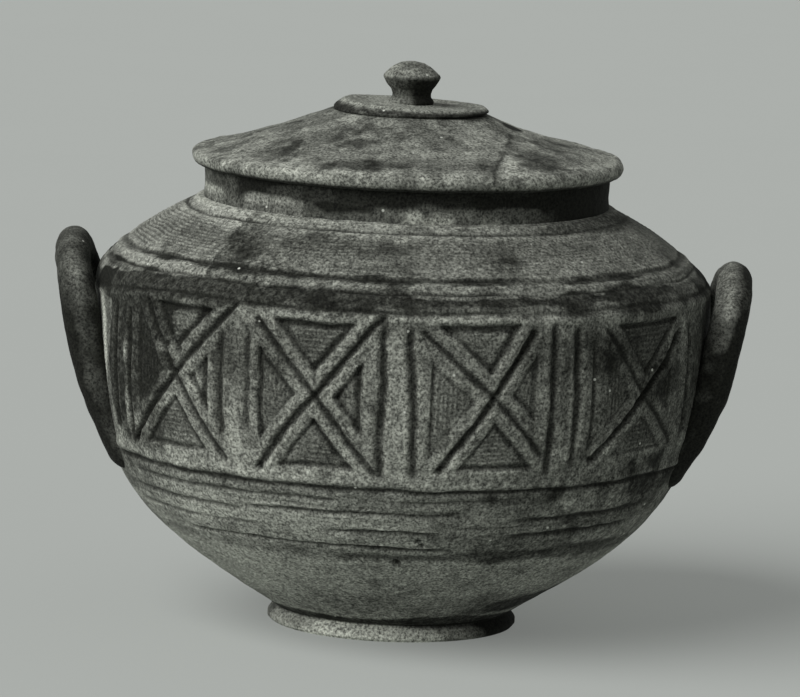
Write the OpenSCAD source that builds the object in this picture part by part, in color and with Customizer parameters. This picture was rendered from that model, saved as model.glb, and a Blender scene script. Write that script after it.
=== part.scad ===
// A lidded earthenware jar with two upright loop handles, put together from its clay pieces.
// Millimetres, +Z up. The origin is the middle of the face that the foot rests on.
// Azimuths are degrees from the front (-Y), positive towards +X.

/* [Foot ring] */
// Outside radius of the resting face
foot_r = 63; // [50:1:72]
// Height of the ring
foot_h = 8.5; // [6:0.5:14]
// Inside radius of the ring
foot_bore_r = 51; // [40:1:54]
// Height of the ring's upright outer edge
foot_edge_h = 3; // [1.5:0.5:4]
// How far the ring draws in at its top
foot_draw_in = 3; // [0:0.5:4]

/* [Bowl and belly] */
// Largest outside radius
belly_r = 155; // [140:1:175]
// Height where the bowl's curve becomes upright
belly_z = 150; // [135:1:165]
// Height of the upright stretch above that
belly_upright_h = 21; // [14:0.5:30]
// Slope of the bowl where it leaves the foot, degrees
bowl_slope = 32; // [28:1:38]
// Pull of the curve at the foot
bowl_low_reach = 70; // [55:1:85]
// Pull of the curve at the belly
bowl_high_reach = 85; // [65:1:95]
// Height where the bowl is luted to the belly wall
bowl_top_z = 84; // [76:1:96]
// Height of the belly's upper joint above the upright stretch
belly_joint_rise = 6; // [4:0.5:8]
// Thickness of the thrown wall
wall = 7; // [5:0.5:9]
// Thickness of the floor
floor_t = 9; // [7:0.5:12]

/* [Shoulder and neck] */
// Radius of the turn from the belly to the shoulder
shoulder_turn_r = 16; // [12:1:24]
// Slope of the shoulder where it leaves the turn, degrees
shoulder_low_slope = 42; // [38:1:46]
// Slope of the shoulder at the neck, degrees
shoulder_high_slope = 25; // [20:1:30]
// Outside radius of the neck
neck_r = 102; // [96:0.5:108]
// Height of the neck above the shoulder
neck_h = 16; // [12:0.5:22]
// Thickness of the neck
neck_wall = 8; // [6:0.5:9]

/* [Turned grooves] */
// Depth of a groove
groove_depth = 1.2; // [0.5:0.1:2]
// Height of the lowest groove
groove_low_z = 58.5; // [50:0.5:62]
// Step to the two grooves above it
groove_low_step = 8.8; // [6:0.1:8.8]
// Drop of the groove under the frieze below the frieze's lower edge
groove_under_frieze = 8; // [6:0.5:10]
// Rise of the first shoulder groove over the belly's upper joint
groove_shoulder_rise = 9.5; // [6:0.5:12]
// Step to the second shoulder groove
groove_shoulder_step = 5.5; // [4:0.5:8]
// Drop of the groove at the foot of the neck below the neck
groove_neck_drop = 4.5; // [3:0.5:7]

/* [Frieze] */
// Height of the frieze's lower edge
frieze_low_z = 98.5; // [96:0.5:106]
// Height of the frieze
frieze_h = 75; // [66:0.5:78]
// Depth of the sunk triangles and of the cut lines
carve_depth = 1.5; // [0.5:0.1:2.5]
// Width of a cut line
line_w = 2.6; // [1.5:0.1:4]
// Width of a raised bar beside the line that runs down the cross
bar_w = 5.6; // [4:0.1:7]
// Width of the raised bar above and below the triangles
rail_w = 4; // [2:0.5:6]

/* [Handles] */
// Radius of the handle bar at the crown
bar_r = 9.1; // [7:0.1:10]
// How much thicker the legs are in radius
leg_swell = 0.6; // [0.4:0.1:1]
// How far each leg reaches into the crown
leg_overlap = 3; // [2:0.5:5]
// Distance of each leg from the jar's middle plane
loop_r = 38; // [30:1:44]
// How far the crown's centre line stands outside the belly
loop_out = 11.75; // [9.5:0.25:18]
// Lean of the loop, degrees
loop_lean = 12.5; // [8:0.5:16]
// Rise of the left crown's centre line over the upright stretch
left_crown_rise = 14.5; // [8:0.5:22]
// Rise of the right crown's centre line over the upright stretch
right_crown_rise = 8.5; // [6:0.5:22]
// Height of the handle roots
root_z = 90; // [84:1:100]
// How deep a root's centre lies under the bowl's face
root_sink = 5.5; // [3:0.5:7]

/* [Lid] */
// Radius of the rounded lip
lip_r = 4.4; // [3.6:0.2:6]
// How far the lip reaches past the neck
lip_reach = 6.5; // [4:0.5:10]
// Height of the cone's top over the seat
lid_rise = 29; // [24:0.5:36]
// Radius where the slope changes
lid_mid_r = 78; // [72:1:88]
// Height over the seat there
lid_mid_rise = 13.5; // [12.5:0.5:16]
// Thickness of the lid
lid_wall = 7; // [5:0.5:8]
// Width of the locating ring
flange_w = 6.5; // [4:0.5:8]
// Depth of the locating ring below the seat
flange_h = 10; // [6:0.5:14]
// Gap between the locating ring and the neck
flange_gap = 2; // [1:0.25:3]

/* [Boss and knob] */
// Largest radius of the boss disc
boss_r = 38.5; // [32:0.5:42]
// How far the disc draws in at its top
boss_draw_in = 2.5; // [1:0.5:4]
// Thickness of the boss disc
boss_h = 4.5; // [3:0.5:7]
// Radius of the knob's stem at the boss
stem_r = 11; // [8:0.5:12]
// Radius of the knob's waist
waist_r = 9.8; // [7:0.1:11]
// Height of the waist over the boss
waist_rise = 3.5; // [2:0.5:6]
// Largest radius of the knob
knob_r = 14.3; // [11:0.1:18]
// Height of the knob's widest part over the boss
knob_wide_rise = 13; // [10:0.5:16]
// Height of the domed cap over that
knob_cap_h = 7.7; // [5:0.1:10]

/* [Mended breaks] */
// Azimuth of the shoulder's front break at the neck, degrees
shoulder_break_neck_az = -47.5; // [-55:0.5:-40]
// Azimuth of the same break at the belly, degrees
shoulder_break_belly_az = -39.5; // [-48:0.5:-36]
// Azimuth of the shoulder's back break, degrees
shoulder_break_back_az = -104; // [-110:1:-95]
// Azimuth of the neck's left break, degrees
neck_break_left_az = -52; // [-60:1:-45]
// Azimuth of the neck's right break, degrees
neck_break_right_az = -30; // [-40:1:-20]
// Azimuth where the lid's crack meets the rim, degrees
lid_crack_rim_az = 23; // [15:1:35]
// Azimuth of the crack's inner corner, degrees
lid_crack_top_az = 79; // [70:1:85]
// Gap between the crack's inner corner and the boss
lid_crack_clear = 13.5; // [8:0.5:25]
// Azimuth where the sherd's back edge meets the rim, degrees
lid_crack_back_az = 106; // [95:1:115]

/* [Hidden] */
$fn = 96;
// Extra reach of every cut past what it cuts
cut_over = 1;
// Steps along each curved outline
bowl_steps = 16;
turn_steps = 6;
shoulder_steps = 6;
lid_steps = 8;
lip_steps = 8;
cap_steps = 6;
// Reach of a break's cut past the neck and past the belly, as shares of their distance
break_in_share = 0.5;
break_out_share = 1;
// Reach of the cuts at the neck's breaks, as shares of the neck's radius
neck_cut_shares = [0.8, 1.3];
// Reach of the lid's cuts, as a share of the lid's radius
lid_cut_share = 1.7;
// Sides of the diamond that cuts a groove
groove_sides = 4;
// How far the lid's flat top reaches past the boss
boss_seat_margin = 0.5;
// The frieze's crosses: azimuths, degrees from the front, where the bars cross, of the upper corners
// and of the lower corners
cross_azimuths = [-45.2, -15.7, 17.2, 50.5];
upper_azimuths = [[-54.5, -31], [-26, -3.5], [3.5, 24.5], [39, 61.5]];
lower_azimuths = [[-59, -35], [-26, -3.5], [7, 29], [38.5, 61]];
// The upright lines beside the crosses
upright_azimuths = [-66, -61.6, -33.2, -28.5, -3, 2, 28.6, 33.8, 66.5];
// Height where the bars cross, of the frieze's height
cross_share = 0.55;
// The frieze is cut on the front and, half a turn on, on the back
frieze_turns = [0, 180];
// How far in the carving tools reach, as a share of the belly's radius
carve_reach_share = 0.2;
// Undercut of the boss at its foot, height of its widest edge and bevel at its top, of its thickness
boss_edge_shares = [0.25, 0.3, 0.12];

// Heights and radii that follow
foot_top_r = foot_r - foot_draw_in;
turn_z = belly_z + belly_upright_h;
belly_top_z = turn_z + belly_joint_rise;
turn_c_r = belly_r - shoulder_turn_r;
turn_sweep = 90 - shoulder_low_slope;
turn_end_r = turn_c_r + shoulder_turn_r * cos(turn_sweep);
turn_end_z = turn_z + shoulder_turn_r * sin(turn_sweep);
shoulder_arc_r = (turn_end_r - neck_r) / (sin(shoulder_low_slope) - sin(shoulder_high_slope));
shoulder_c_r = turn_end_r - shoulder_arc_r * sin(shoulder_low_slope);
shoulder_c_z = turn_end_z - shoulder_arc_r * cos(shoulder_low_slope);
neck_z = shoulder_c_z + shoulder_arc_r * cos(shoulder_high_slope);
neck_bore_r = neck_r - neck_wall;
seat_z = neck_z + neck_h;
lip_c_r = neck_r + lip_reach - lip_r;
lip_c_z = seat_z + lip_r;
lid_r = lip_c_r + lip_r;
lid_top_z = seat_z + lid_rise;
boss_top_z = lid_top_z + boss_h;
lid_top_r = boss_r + boss_seat_margin;
flange_out_r = neck_bore_r - flange_gap;
flange_in_r = flange_out_r - flange_w;
crack_top_r = boss_r + lid_crack_clear;

// Plan point at a radius and an azimuth
function plan(r, az) = [r * sin(az), -r * cos(az)];
// The point a share of the way from p to q, or past either of them
function along(p, q, share) = p + (q - p) * share;
// Points of a cubic curve through four guide points
function cubic(p, steps) = [for (i = [0:steps])
    let (t = i / steps, u = 1 - t)
    u * u * u * p[0] + 3 * u * u * t * p[1] + 3 * u * t * t * p[2] + t * t * t * p[3]];
// Points of a quadratic curve through three guide points
function quadratic(p, steps) = [for (i = [0:steps])
    let (t = i / steps, u = 1 - t) u * u * p[0] + 2 * u * t * p[1] + t * t * p[2]];
// Points of an arc
function arc(c, r, from, to, steps) = [for (i = [0:steps])
    let (a = from + (to - from) * i / steps) c + r * [cos(a), sin(a)]];
// Direction of an outline at its point i
function heading(p, i) = let (d = p[min(i + 1, len(p) - 1)] - p[max(i - 1, 0)]) d / norm(d);
// The outline moved sideways, to its left, by a distance
function beside(p, d) = [for (i = [0:len(p) - 1])
    let (h = heading(p, i)) p[i] + d * [-h[1], h[0]]];
function backwards(p) = [for (i = [len(p) - 1:-1:0]) p[i]];
function swapped(p) = [for (q = p) [q[1], q[0]]];

// The jar's outside, from the foot to the neck
bowl_line = cubic([
    [foot_top_r, foot_h],
    [foot_top_r, foot_h] + bowl_low_reach * [cos(bowl_slope), sin(bowl_slope)],
    [belly_r, belly_z - bowl_high_reach],
    [belly_r, belly_z]], bowl_steps);
turn_line = arc([turn_c_r, turn_z], shoulder_turn_r, 0, turn_sweep, turn_steps);
shoulder_line = arc([shoulder_c_r, shoulder_c_z], shoulder_arc_r, turn_sweep, 90 - shoulder_high_slope,
    shoulder_steps);
outside = concat(bowl_line, turn_line, [for (i = [1:shoulder_steps]) shoulder_line[i]]);
inside = beside(outside, wall);
outside_lookup = swapped(outside);
function outside_r(z) = lookup(z, outside_lookup);

// The lid's upper face, from the lip to the top
lid_line = quadratic([
    [lip_c_r, lip_c_z + lip_r],
    [lid_mid_r, seat_z + lid_mid_rise],
    [lid_top_r, lid_top_z]], lid_steps);
lid_inside = [for (p = beside(lid_line, lid_wall)) if (p[0] < flange_in_r) p];

// The whole jar wall as one turned shell, cut at its joints below
module jar_wall() {
    inner = [for (p = inside) if (p[1] > foot_h + floor_t && p[1] < neck_z) p];
    rotate_extrude()
        polygon(concat(
            [[0, foot_h]],
            outside,
            [[neck_bore_r, neck_z], [neck_bore_r, inner[len(inner) - 1][1]]],
            [for (p = backwards(inner)) if (p[0] > neck_bore_r || p[1] < belly_z) p],
            [[0, foot_h + floor_t]]));
}

// A flat slab of the jar between two heights
module slab(z0, z1) {
    translate([0, 0, z0])
        cylinder(r = belly_r + cut_over, h = z1 - z0);
}

// One turned groove at a height on the outside
module groove(z) {
    rotate_extrude()
        translate([outside_r(z), z])
            circle(r = groove_depth, $fn = groove_sides);
}

// The part of the shoulder that belongs to the mended sherd
module shoulder_break() {
    front_in = plan(neck_r, shoulder_break_neck_az);
    front_out = plan(belly_r, shoulder_break_belly_az);
    back_in = plan(neck_r, shoulder_break_back_az);
    back_out = plan(belly_r, shoulder_break_back_az);
    translate([0, 0, belly_top_z - cut_over])
        linear_extrude(neck_z - belly_top_z + 2 * cut_over)
            polygon([
                along(front_in, front_out, -break_in_share),
                along(front_in, front_out, 1 + break_out_share),
                along(back_in, back_out, 1 + break_out_share),
                along(back_in, back_out, -break_in_share)]);
}

// The part of the neck that belongs to the mended sherd
module neck_break() {
    near_r = neck_r * neck_cut_shares[0];
    far_r = neck_r * neck_cut_shares[1];
    translate([0, 0, neck_z - cut_over])
        linear_extrude(neck_h + 2 * cut_over)
            polygon([
                plan(near_r, neck_break_left_az),
                plan(far_r, neck_break_left_az),
                plan(far_r, neck_break_right_az),
                plan(near_r, neck_break_right_az)]);
}

// The part of the lid that belongs to the mended sherd
module lid_break() {
    corner = plan(crack_top_r, lid_crack_top_az);
    front = plan(lid_r, lid_crack_rim_az);
    back = plan(lid_r, lid_crack_back_az);
    side = plan(lid_r, (lid_crack_rim_az + lid_crack_back_az) / 2);
    translate([0, 0, seat_z - cut_over])
        linear_extrude(lid_rise + 2 * cut_over)
            polygon([
                corner,
                along(corner, front, lid_cut_share),
                side * lid_cut_share,
                along(corner, back, lid_cut_share)]);
}

module foot_ring() {
    color("#8a8883")
        rotate_extrude()
            polygon([
                [foot_bore_r, 0],
                [foot_r, 0],
                [foot_r, foot_edge_h],
                [foot_top_r, foot_h],
                [foot_bore_r, foot_h]]);
}

module lower_bowl() {
    color("#87857f")
        difference() {
            intersection() {
                jar_wall();
                slab(foot_h, bowl_top_z);
            }
            for (i = [0:2])
                groove(groove_low_z + i * groove_low_step);
        }
}

// Points of the frieze lie on the upright plane that faces an azimuth: sideways place and height
function frieze_point(az, facing, share) =
    let (z = frieze_low_z + frieze_h * share) [outside_r(z) * sin(az - facing), z];
// A sunk triangle between two bars that run from their crossing towards p and q. Its far side lies
// along the sideways axis (0) or the height axis (1) of the plane, at end.
function sunk_triangle(cross, p, q, axis, end) =
    let (
        u = (p - cross) / norm(p - cross),
        v = (q - cross) / norm(q - cross),
        tip = cross + (line_w / 2 + bar_w) / abs(u[0] * v[1] - u[1] * v[0]) * (u + v))
    [tip, tip + u * (end - tip[axis]) / u[axis], tip + v * (end - tip[axis]) / v[axis]];

// A straight cut line from p to q on the plane
module cut_line(p, q) {
    side = line_w / 2 / norm(q - p) * [q[1] - p[1], p[0] - q[0]];
    polygon([p + side, q + side, q - side, p - side]);
}

// Drives a shape on the plane that faces an azimuth into the wall from outside
module carve(facing) {
    reach = belly_r * carve_reach_share;
    rotate([0, 0, facing])
        translate([0, reach - belly_r, 0])
            rotate([90, 0, 0])
                linear_extrude(reach + cut_over)
                    children();
}

// One crossed pair of bars with a line down each and four sunk triangles between them
module crossed_bars(i) {
    facing = cross_azimuths[i];
    cross = frieze_point(facing, facing, cross_share);
    upper = [for (az = upper_azimuths[i]) frieze_point(az, facing, 1)];
    lower = [for (az = lower_azimuths[i]) frieze_point(az, facing, 0)];
    left = max(upper[0][0], lower[0][0]) + bar_w / 2;
    right = min(upper[1][0], lower[1][0]) - bar_w / 2;
    top = frieze_low_z + frieze_h - rail_w;
    low = frieze_low_z + rail_w;
    carve(facing) cut_line(upper[0], lower[1]);
    carve(facing) cut_line(upper[1], lower[0]);
    carve(facing) polygon(sunk_triangle(cross, upper[0], upper[1], 1, top));
    carve(facing) polygon(sunk_triangle(cross, lower[0], lower[1], 1, low));
    carve(facing) polygon(sunk_triangle(cross, upper[0], lower[0], 0, left));
    carve(facing) polygon(sunk_triangle(cross, upper[1], lower[1], 0, right));
}

// What is cut away for the frieze: everything carved, down to its depth
module frieze_cuts() {
    floor_line = [for (p = beside(outside, carve_depth))
        if (p[1] > frieze_low_z - line_w * 2 && p[1] < frieze_low_z + frieze_h + line_w * 2) p];
    last = len(floor_line) - 1;
    intersection() {
        rotate_extrude()
            polygon(concat(
                floor_line,
                [[belly_r + cut_over, floor_line[last][1]], [belly_r + cut_over, floor_line[0][1]]]));
        for (turn = frieze_turns)
            rotate([0, 0, turn]) {
                for (i = [0:len(cross_azimuths) - 1])
                    crossed_bars(i);
                for (az = upright_azimuths)
                    carve(az) cut_line([0, frieze_low_z], [0, frieze_low_z + frieze_h]);
            }
    }
}

module belly_band() {
    color("#7d7b76")
        difference() {
            intersection() {
                jar_wall();
                slab(bowl_top_z, belly_top_z);
            }
            groove(frieze_low_z - groove_under_frieze);
            frieze_cuts();
        }
}

// The shoulder ring with its grooves, before the break
module whole_shoulder() {
    first = belly_top_z + groove_shoulder_rise;
    difference() {
        intersection() {
            jar_wall();
            slab(belly_top_z, neck_z + cut_over);
        }
        groove(first);
        groove(first + groove_shoulder_step);
        groove(neck_z - groove_neck_drop);
    }
}

module shoulder() {
    color("#6f6d68")
        difference() {
            whole_shoulder();
            shoulder_break();
        }
}

module shoulder_sherd() {
    color("#a09d96")
        intersection() {
            whole_shoulder();
            shoulder_break();
        }
}

module neck_ring() {
    rotate_extrude()
        translate([neck_bore_r, neck_z])
            square([neck_wall, neck_h]);
}

module neck_collar() {
    color("#6a6863")
        difference() {
            neck_ring();
            neck_break();
        }
}

module neck_sherd() {
    color("#918e87")
        intersection() {
            neck_ring();
            neck_break();
        }
}

// One loop handle on the +X side: an arched crown on two bowed legs that end on the bowl
module loop_handle(crown_z) {
    crown_x = belly_r + loop_out;
    top_x = crown_x - loop_r * sin(loop_lean);
    top_z = crown_z - loop_r * cos(loop_lean);
    root_d = outside_r(root_z) - root_sink;
    root_x = sqrt(root_d * root_d - loop_r * loop_r);
    chord = norm([top_x - root_x, top_z - root_z]);
    root_lean = 2 * atan2(top_x - root_x, top_z - root_z) - loop_lean;
    bow_r = chord / (2 * sin((root_lean - loop_lean) / 2));
    leg_r = bar_r + leg_swell;
    // Turn by which each leg reaches into the crown, so that the two overlap
    leg_over = atan(leg_overlap / bow_r);
    difference() {
        union() {
            translate([top_x, 0, top_z])
                rotate([0, loop_lean, 0])
                    rotate([90, 0, 90])
                        rotate_extrude(angle = 180)
                            translate([loop_r, 0])
                                circle(r = bar_r);
            for (side = [-1, 1])
                translate([top_x - bow_r * cos(loop_lean), side * loop_r, top_z + bow_r * sin(loop_lean)])
                    rotate([0, root_lean, 0]) {
                        rotate([90, 0, 0])
                            rotate_extrude(angle = root_lean - loop_lean + leg_over)
                                translate([bow_r, 0])
                                    circle(r = leg_r);
                        translate([bow_r, 0, 0])
                            sphere(r = leg_r);
                    }
        }
        rotate_extrude()
            polygon(concat([[0, foot_h]], outside, [[0, neck_z]]));
    }
}

module handle_left() {
    color("#777570")
        mirror([1, 0, 0])
            loop_handle(turn_z + left_crown_rise);
}

module handle_right() {
    color("#64625e")
        loop_handle(turn_z + right_crown_rise);
}

// The lid's turned shell: a flat seat, a rounded lip and a low cone with a hollow under it
module lid_shell() {
    rotate_extrude()
        polygon(concat(
            [[flange_in_r, seat_z]],
            arc([lip_c_r, lip_c_z], lip_r, -90, 90, lip_steps),
            [for (i = [1:lid_steps]) lid_line[i]],
            [[0, lid_top_z], [0, lid_top_z - lid_wall]],
            backwards(lid_inside),
            [[flange_in_r, lid_inside[0][1]]]));
}

module lid_cone() {
    color("#7b7974")
        difference() {
            lid_shell();
            lid_break();
        }
}

module lid_sherd() {
    color("#85837d")
        intersection() {
            lid_shell();
            lid_break();
        }
}

module lid_flange() {
    color("#8a8883")
        rotate_extrude()
            translate([flange_in_r, seat_z - flange_h])
                square([flange_w, flange_h]);
}

module lid_boss() {
    color("#8d8b85")
        rotate_extrude()
            polygon([
                [0, lid_top_z],
                [boss_r - boss_h * boss_edge_shares[0], lid_top_z],
                [boss_r, lid_top_z + boss_h * boss_edge_shares[1]],
                [boss_r - boss_draw_in, boss_top_z - boss_h * boss_edge_shares[2]],
                [boss_r - boss_draw_in - boss_h * boss_edge_shares[2], boss_top_z],
                [0, boss_top_z]]);
}

module lid_knob() {
    wide_z = boss_top_z + knob_wide_rise;
    // The cap is a flat dome: an arc whose rise is knob_cap_h over a half width of knob_r
    dome_r = (knob_r * knob_r + knob_cap_h * knob_cap_h) / (2 * knob_cap_h);
    dome_from = asin((dome_r - knob_cap_h) / dome_r);
    color("#74726d")
        rotate_extrude()
            polygon(concat(
                [[0, boss_top_z], [stem_r, boss_top_z], [waist_r, boss_top_z + waist_rise]],
                arc([0, wide_z + knob_cap_h - dome_r], dome_r, dome_from, 90, cap_steps)));
}

foot_ring();
lower_bowl();
belly_band();
shoulder();
shoulder_sherd();
neck_collar();
neck_sherd();
handle_left();
handle_right();
lid_cone();
lid_sherd();
lid_flange();
lid_boss();
lid_knob();
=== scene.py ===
import math

import bmesh
import bpy
import numpy as np
from bpy.props import FloatProperty, FloatVectorProperty, PointerProperty
from bpy.types import Operator, Panel, PropertyGroup
from mathutils import Matrix, Vector


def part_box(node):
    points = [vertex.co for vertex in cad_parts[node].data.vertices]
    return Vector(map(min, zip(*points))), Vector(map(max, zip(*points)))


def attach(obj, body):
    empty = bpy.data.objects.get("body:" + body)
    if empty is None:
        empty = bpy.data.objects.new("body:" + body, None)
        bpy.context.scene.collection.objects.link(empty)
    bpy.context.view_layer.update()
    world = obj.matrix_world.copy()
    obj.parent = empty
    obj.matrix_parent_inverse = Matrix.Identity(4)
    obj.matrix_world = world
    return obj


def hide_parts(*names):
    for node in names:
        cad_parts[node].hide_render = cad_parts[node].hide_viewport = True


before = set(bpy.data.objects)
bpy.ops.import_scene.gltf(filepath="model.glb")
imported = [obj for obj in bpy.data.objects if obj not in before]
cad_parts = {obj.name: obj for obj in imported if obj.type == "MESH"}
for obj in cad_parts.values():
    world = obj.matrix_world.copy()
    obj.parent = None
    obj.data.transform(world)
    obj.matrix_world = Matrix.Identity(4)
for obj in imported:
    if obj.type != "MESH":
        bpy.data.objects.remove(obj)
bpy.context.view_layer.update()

bl_info = {
    "name": "Lidded Earthenware Jar",
    "version": (1, 0, 0),
    "blender": (4, 5, 0),
    "location": "3D View > Sidebar > Jar",
    "description": "Builds a hand-made earthenware jar with a cut frieze, loop handles and a lid",
    "category": "Add Mesh",
}

# Work is done in millimetres and azimuths in degrees from the front (-Y), positive towards +X.
MM = 0.001
FULL_TURN = 360.0
HALF_TURN = 180.0


def hex_colour(text):
    """An sRGB hex colour as linear red, green and blue."""
    channels = [int(text[i:i + 2], 16) / 255 for i in (1, 3, 5)]
    return tuple(c / 12.92 if c <= 0.04045 else ((c + 0.055) / 1.055) ** 2.4 for c in channels)


def from_frame(name, description, metres):
    """A length property whose default is measured on the frame."""
    return FloatProperty(name=name, description=description, default=metres, unit="LENGTH", min=0)


def length(name, description, millimetres):
    """A length property, given in millimetres and kept in metres."""
    return from_frame(name, description, millimetres * MM)


def share(name, description, value):
    """A plain factor property."""
    return FloatProperty(name=name, description=description, default=value, subtype="FACTOR", min=0)


def degrees(name, description, value):
    """An angle property, given in degrees."""
    return FloatProperty(name=name, description=description, default=math.radians(value), subtype="ANGLE")


def colour(name, description, text):
    """A colour property, given as an sRGB hex value."""
    return FloatVectorProperty(name=name, description=description, default=hex_colour(text),
                               subtype="COLOR", size=3, min=0, max=1)


def highest(node):
    """Height of the top of a node of the frame, in metres."""
    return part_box(node)[1].z


def furthest(node):
    """Reach of a node of the frame along +X, in metres."""
    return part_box(node)[1].x


class WallSizes(PropertyGroup):
    belly_r: from_frame("Belly Radius", "Largest outside radius of the jar", furthest("belly_band"))
    foot_r: from_frame("Foot Radius", "Outside radius of the foot ring", furthest("foot_ring"))
    foot_h: from_frame("Foot Height", "Height of the foot ring", highest("foot_ring"))
    bowl_top: from_frame("Bowl Top", "Height where bowl and belly are luted", highest("lower_bowl"))
    belly_top: from_frame("Belly Top", "Height where belly and shoulder are luted", highest("belly_band"))
    neck_z: from_frame("Shoulder Top", "Height where the neck begins", highest("shoulder"))
    neck_r: from_frame("Neck Radius", "Outside radius of the neck", furthest("neck_collar"))
    seat_z: from_frame("Seat Height", "Height of the neck's rim", highest("neck_collar"))
    foot_draw: length("Foot Draw-in", "How far the foot ring draws in at its top", 3)
    foot_bore: length("Foot Bore", "Inside radius of the foot ring", 51)
    upright_z: length("Upright Height", "Height where the bowl's curve becomes upright", 150)
    turn_z: length("Turn Height", "Height where the shoulder's turn begins", 171)
    turn_r: length("Turn Radius", "Radius of the shoulder's turn", 16)
    low_reach: length("Low Reach", "Pull of the bowl's curve at the foot", 70)
    high_reach: length("High Reach", "Pull of the bowl's curve at the belly", 85)
    bowl_slope: degrees("Bowl Slope", "Slope of the bowl at the foot", 32)
    low_slope: degrees("Low Shoulder Slope", "Slope of the shoulder where it leaves the turn", 42)
    high_slope: degrees("High Shoulder Slope", "Slope of the shoulder at the neck", 25)
    wall: length("Wall", "Thickness of the wall", 7)
    floor: length("Floor", "Thickness of the floor", 9)
    neck_wall: length("Neck Wall", "Thickness of the neck", 8)


class ReliefSizes(PropertyGroup):
    groove_w: length("Groove Width", "Half width of a cut groove", 1.45)
    groove_d: length("Groove Depth", "Depth of a cut groove", 1.6)
    bar_half: length("Bar Half Width", "From a bar's middle groove to the sunk triangles", 7.2)
    field_d: length("Field Depth", "Depth of the sunk triangles", 1.1)
    hatch: length("Hatch Spacing", "Spacing of the fine lines in the triangles", 2.4)
    comb: length("Comb Spacing", "Spacing of the combed lines on the shoulder", 2.3)
    comb_d: length("Comb Depth", "Depth of the combed lines", 0.42)
    wobble: length("Wobble", "How far the hand-made wall strays from round", 0.55)
    hand: length("Hand Wobble", "How far a hand-cut line strays from straight", 1.0)


class HandleSizes(PropertyGroup):
    bar_r: length("Bar Radius", "Radius of the handle bar at the crown", 9.1)
    leg_r: length("Leg Radius", "Radius of the legs", 9.7)
    loop_r: length("Loop Radius", "Distance of each leg from the jar's middle plane", 38)
    loop_out: length("Loop Out", "How far the crown stands outside the belly", 11.75)
    lean: degrees("Lean", "Lean of the loop", 12.5)
    root_z: length("Root Height", "Height of the roots", 90)
    root_sink: length("Root Sink", "How deep a root's centre lies under the bowl's face", 5.5)
    flare: length("Root Flare", "Spread of the smeared clay where a leg meets the wall", 2.6)


class LidSizes(PropertyGroup):
    lid_r: from_frame("Lid Radius", "Outside radius of the lid's lip", -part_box("lid_cone")[0].y)
    top_z: from_frame("Lid Top", "Height of the cone's top", highest("lid_cone"))
    boss_r: from_frame("Boss Radius", "Radius of the boss disc", furthest("lid_boss"))
    boss_z: from_frame("Boss Top", "Height of the boss's face", highest("lid_boss"))
    knob_r: from_frame("Knob Radius", "Largest radius of the knob", furthest("lid_knob"))
    knob_z: from_frame("Knob Top", "Height of the knob's top", highest("lid_knob"))
    flange_r: from_frame("Ring Radius", "Outside radius of the locating ring", furthest("lid_flange"))
    lip_r: length("Lip Radius", "Radius of the rounded lip", 4.4)
    mid_r: length("Slope Change Radius", "Radius where the cone's slope changes", 78)
    mid_rise: length("Slope Change Height", "Height over the seat there", 13.5)
    boss_draw: length("Boss Draw-in", "How far the boss draws in at its top", 2.5)
    wall: length("Lid Wall", "Thickness of the lid", 7)
    flange_w: length("Ring Width", "Width of the locating ring", 6.5)
    flange_h: length("Ring Depth", "Depth of the locating ring", 10)


class WareColours(PropertyGroup):
    body: colour("Clay", "Fired clay on the open surface", "#72746d")
    # The worn clay colour lightens rubbed edges, and also the bleached patches, among them painted light
    pale: colour("Worn Clay", "Clay on rubbed edges", "#b7baaf")
    # The soot colour paints dirt and soot in the cuts, and also painted shade in hollows, under edges and in
    # the smoke channel
    soot: colour("Soot", "Dirt and soot in the cuts", "#1a1b17")
    grit: colour("Grit", "White sand grains in the clay", "#d2d5cb")
    sherd: colour("Pale Sherd", "Clay of the sherds that lay apart", "#8e9088")


class StageSettings(PropertyGroup):
    floor: colour("Floor", "Colour of the floor", "#b8bcb8")
    # The floor's glow is emission of its own, painted light that lightens its shadow; nothing lights it from
    # below
    glow: share("Floor Glow", "Share of the floor's light that comes through it from below", 0.38)
    key: share("Key Light", "Strength of the key light; 1 lights white to white", 1.0)
    ambient: share("Ambient", "Strength of the light from all round", 0.22)
    key_azimuth: degrees("Key Azimuth", "Direction of the key light from the front", -56)
    key_height: degrees("Key Height", "Height of the key light", 39)
    key_softness: degrees("Key Softness", "Apparent size of the key light", 55)


class JarSettings(PropertyGroup):
    wall: PointerProperty(type=WallSizes)
    relief: PointerProperty(type=ReliefSizes)
    handle: PointerProperty(type=HandleSizes)
    lid: PointerProperty(type=LidSizes)
    ware: PointerProperty(type=WareColours)
    stage: PointerProperty(type=StageSettings)


def settings():
    """The jar's settings in the scene."""
    return bpy.context.scene.jar


def in_mm(group, name):
    """A length of a settings group in millimetres."""
    return getattr(group, name) / MM


# Noise

LATTICE_SIDE = 32
LATTICE_SEED = 11
LATTICE = np.random.default_rng(LATTICE_SEED).uniform(-1, 1, (LATTICE_SIDE,) * 3)
SEED_STEP = 5.37
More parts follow.
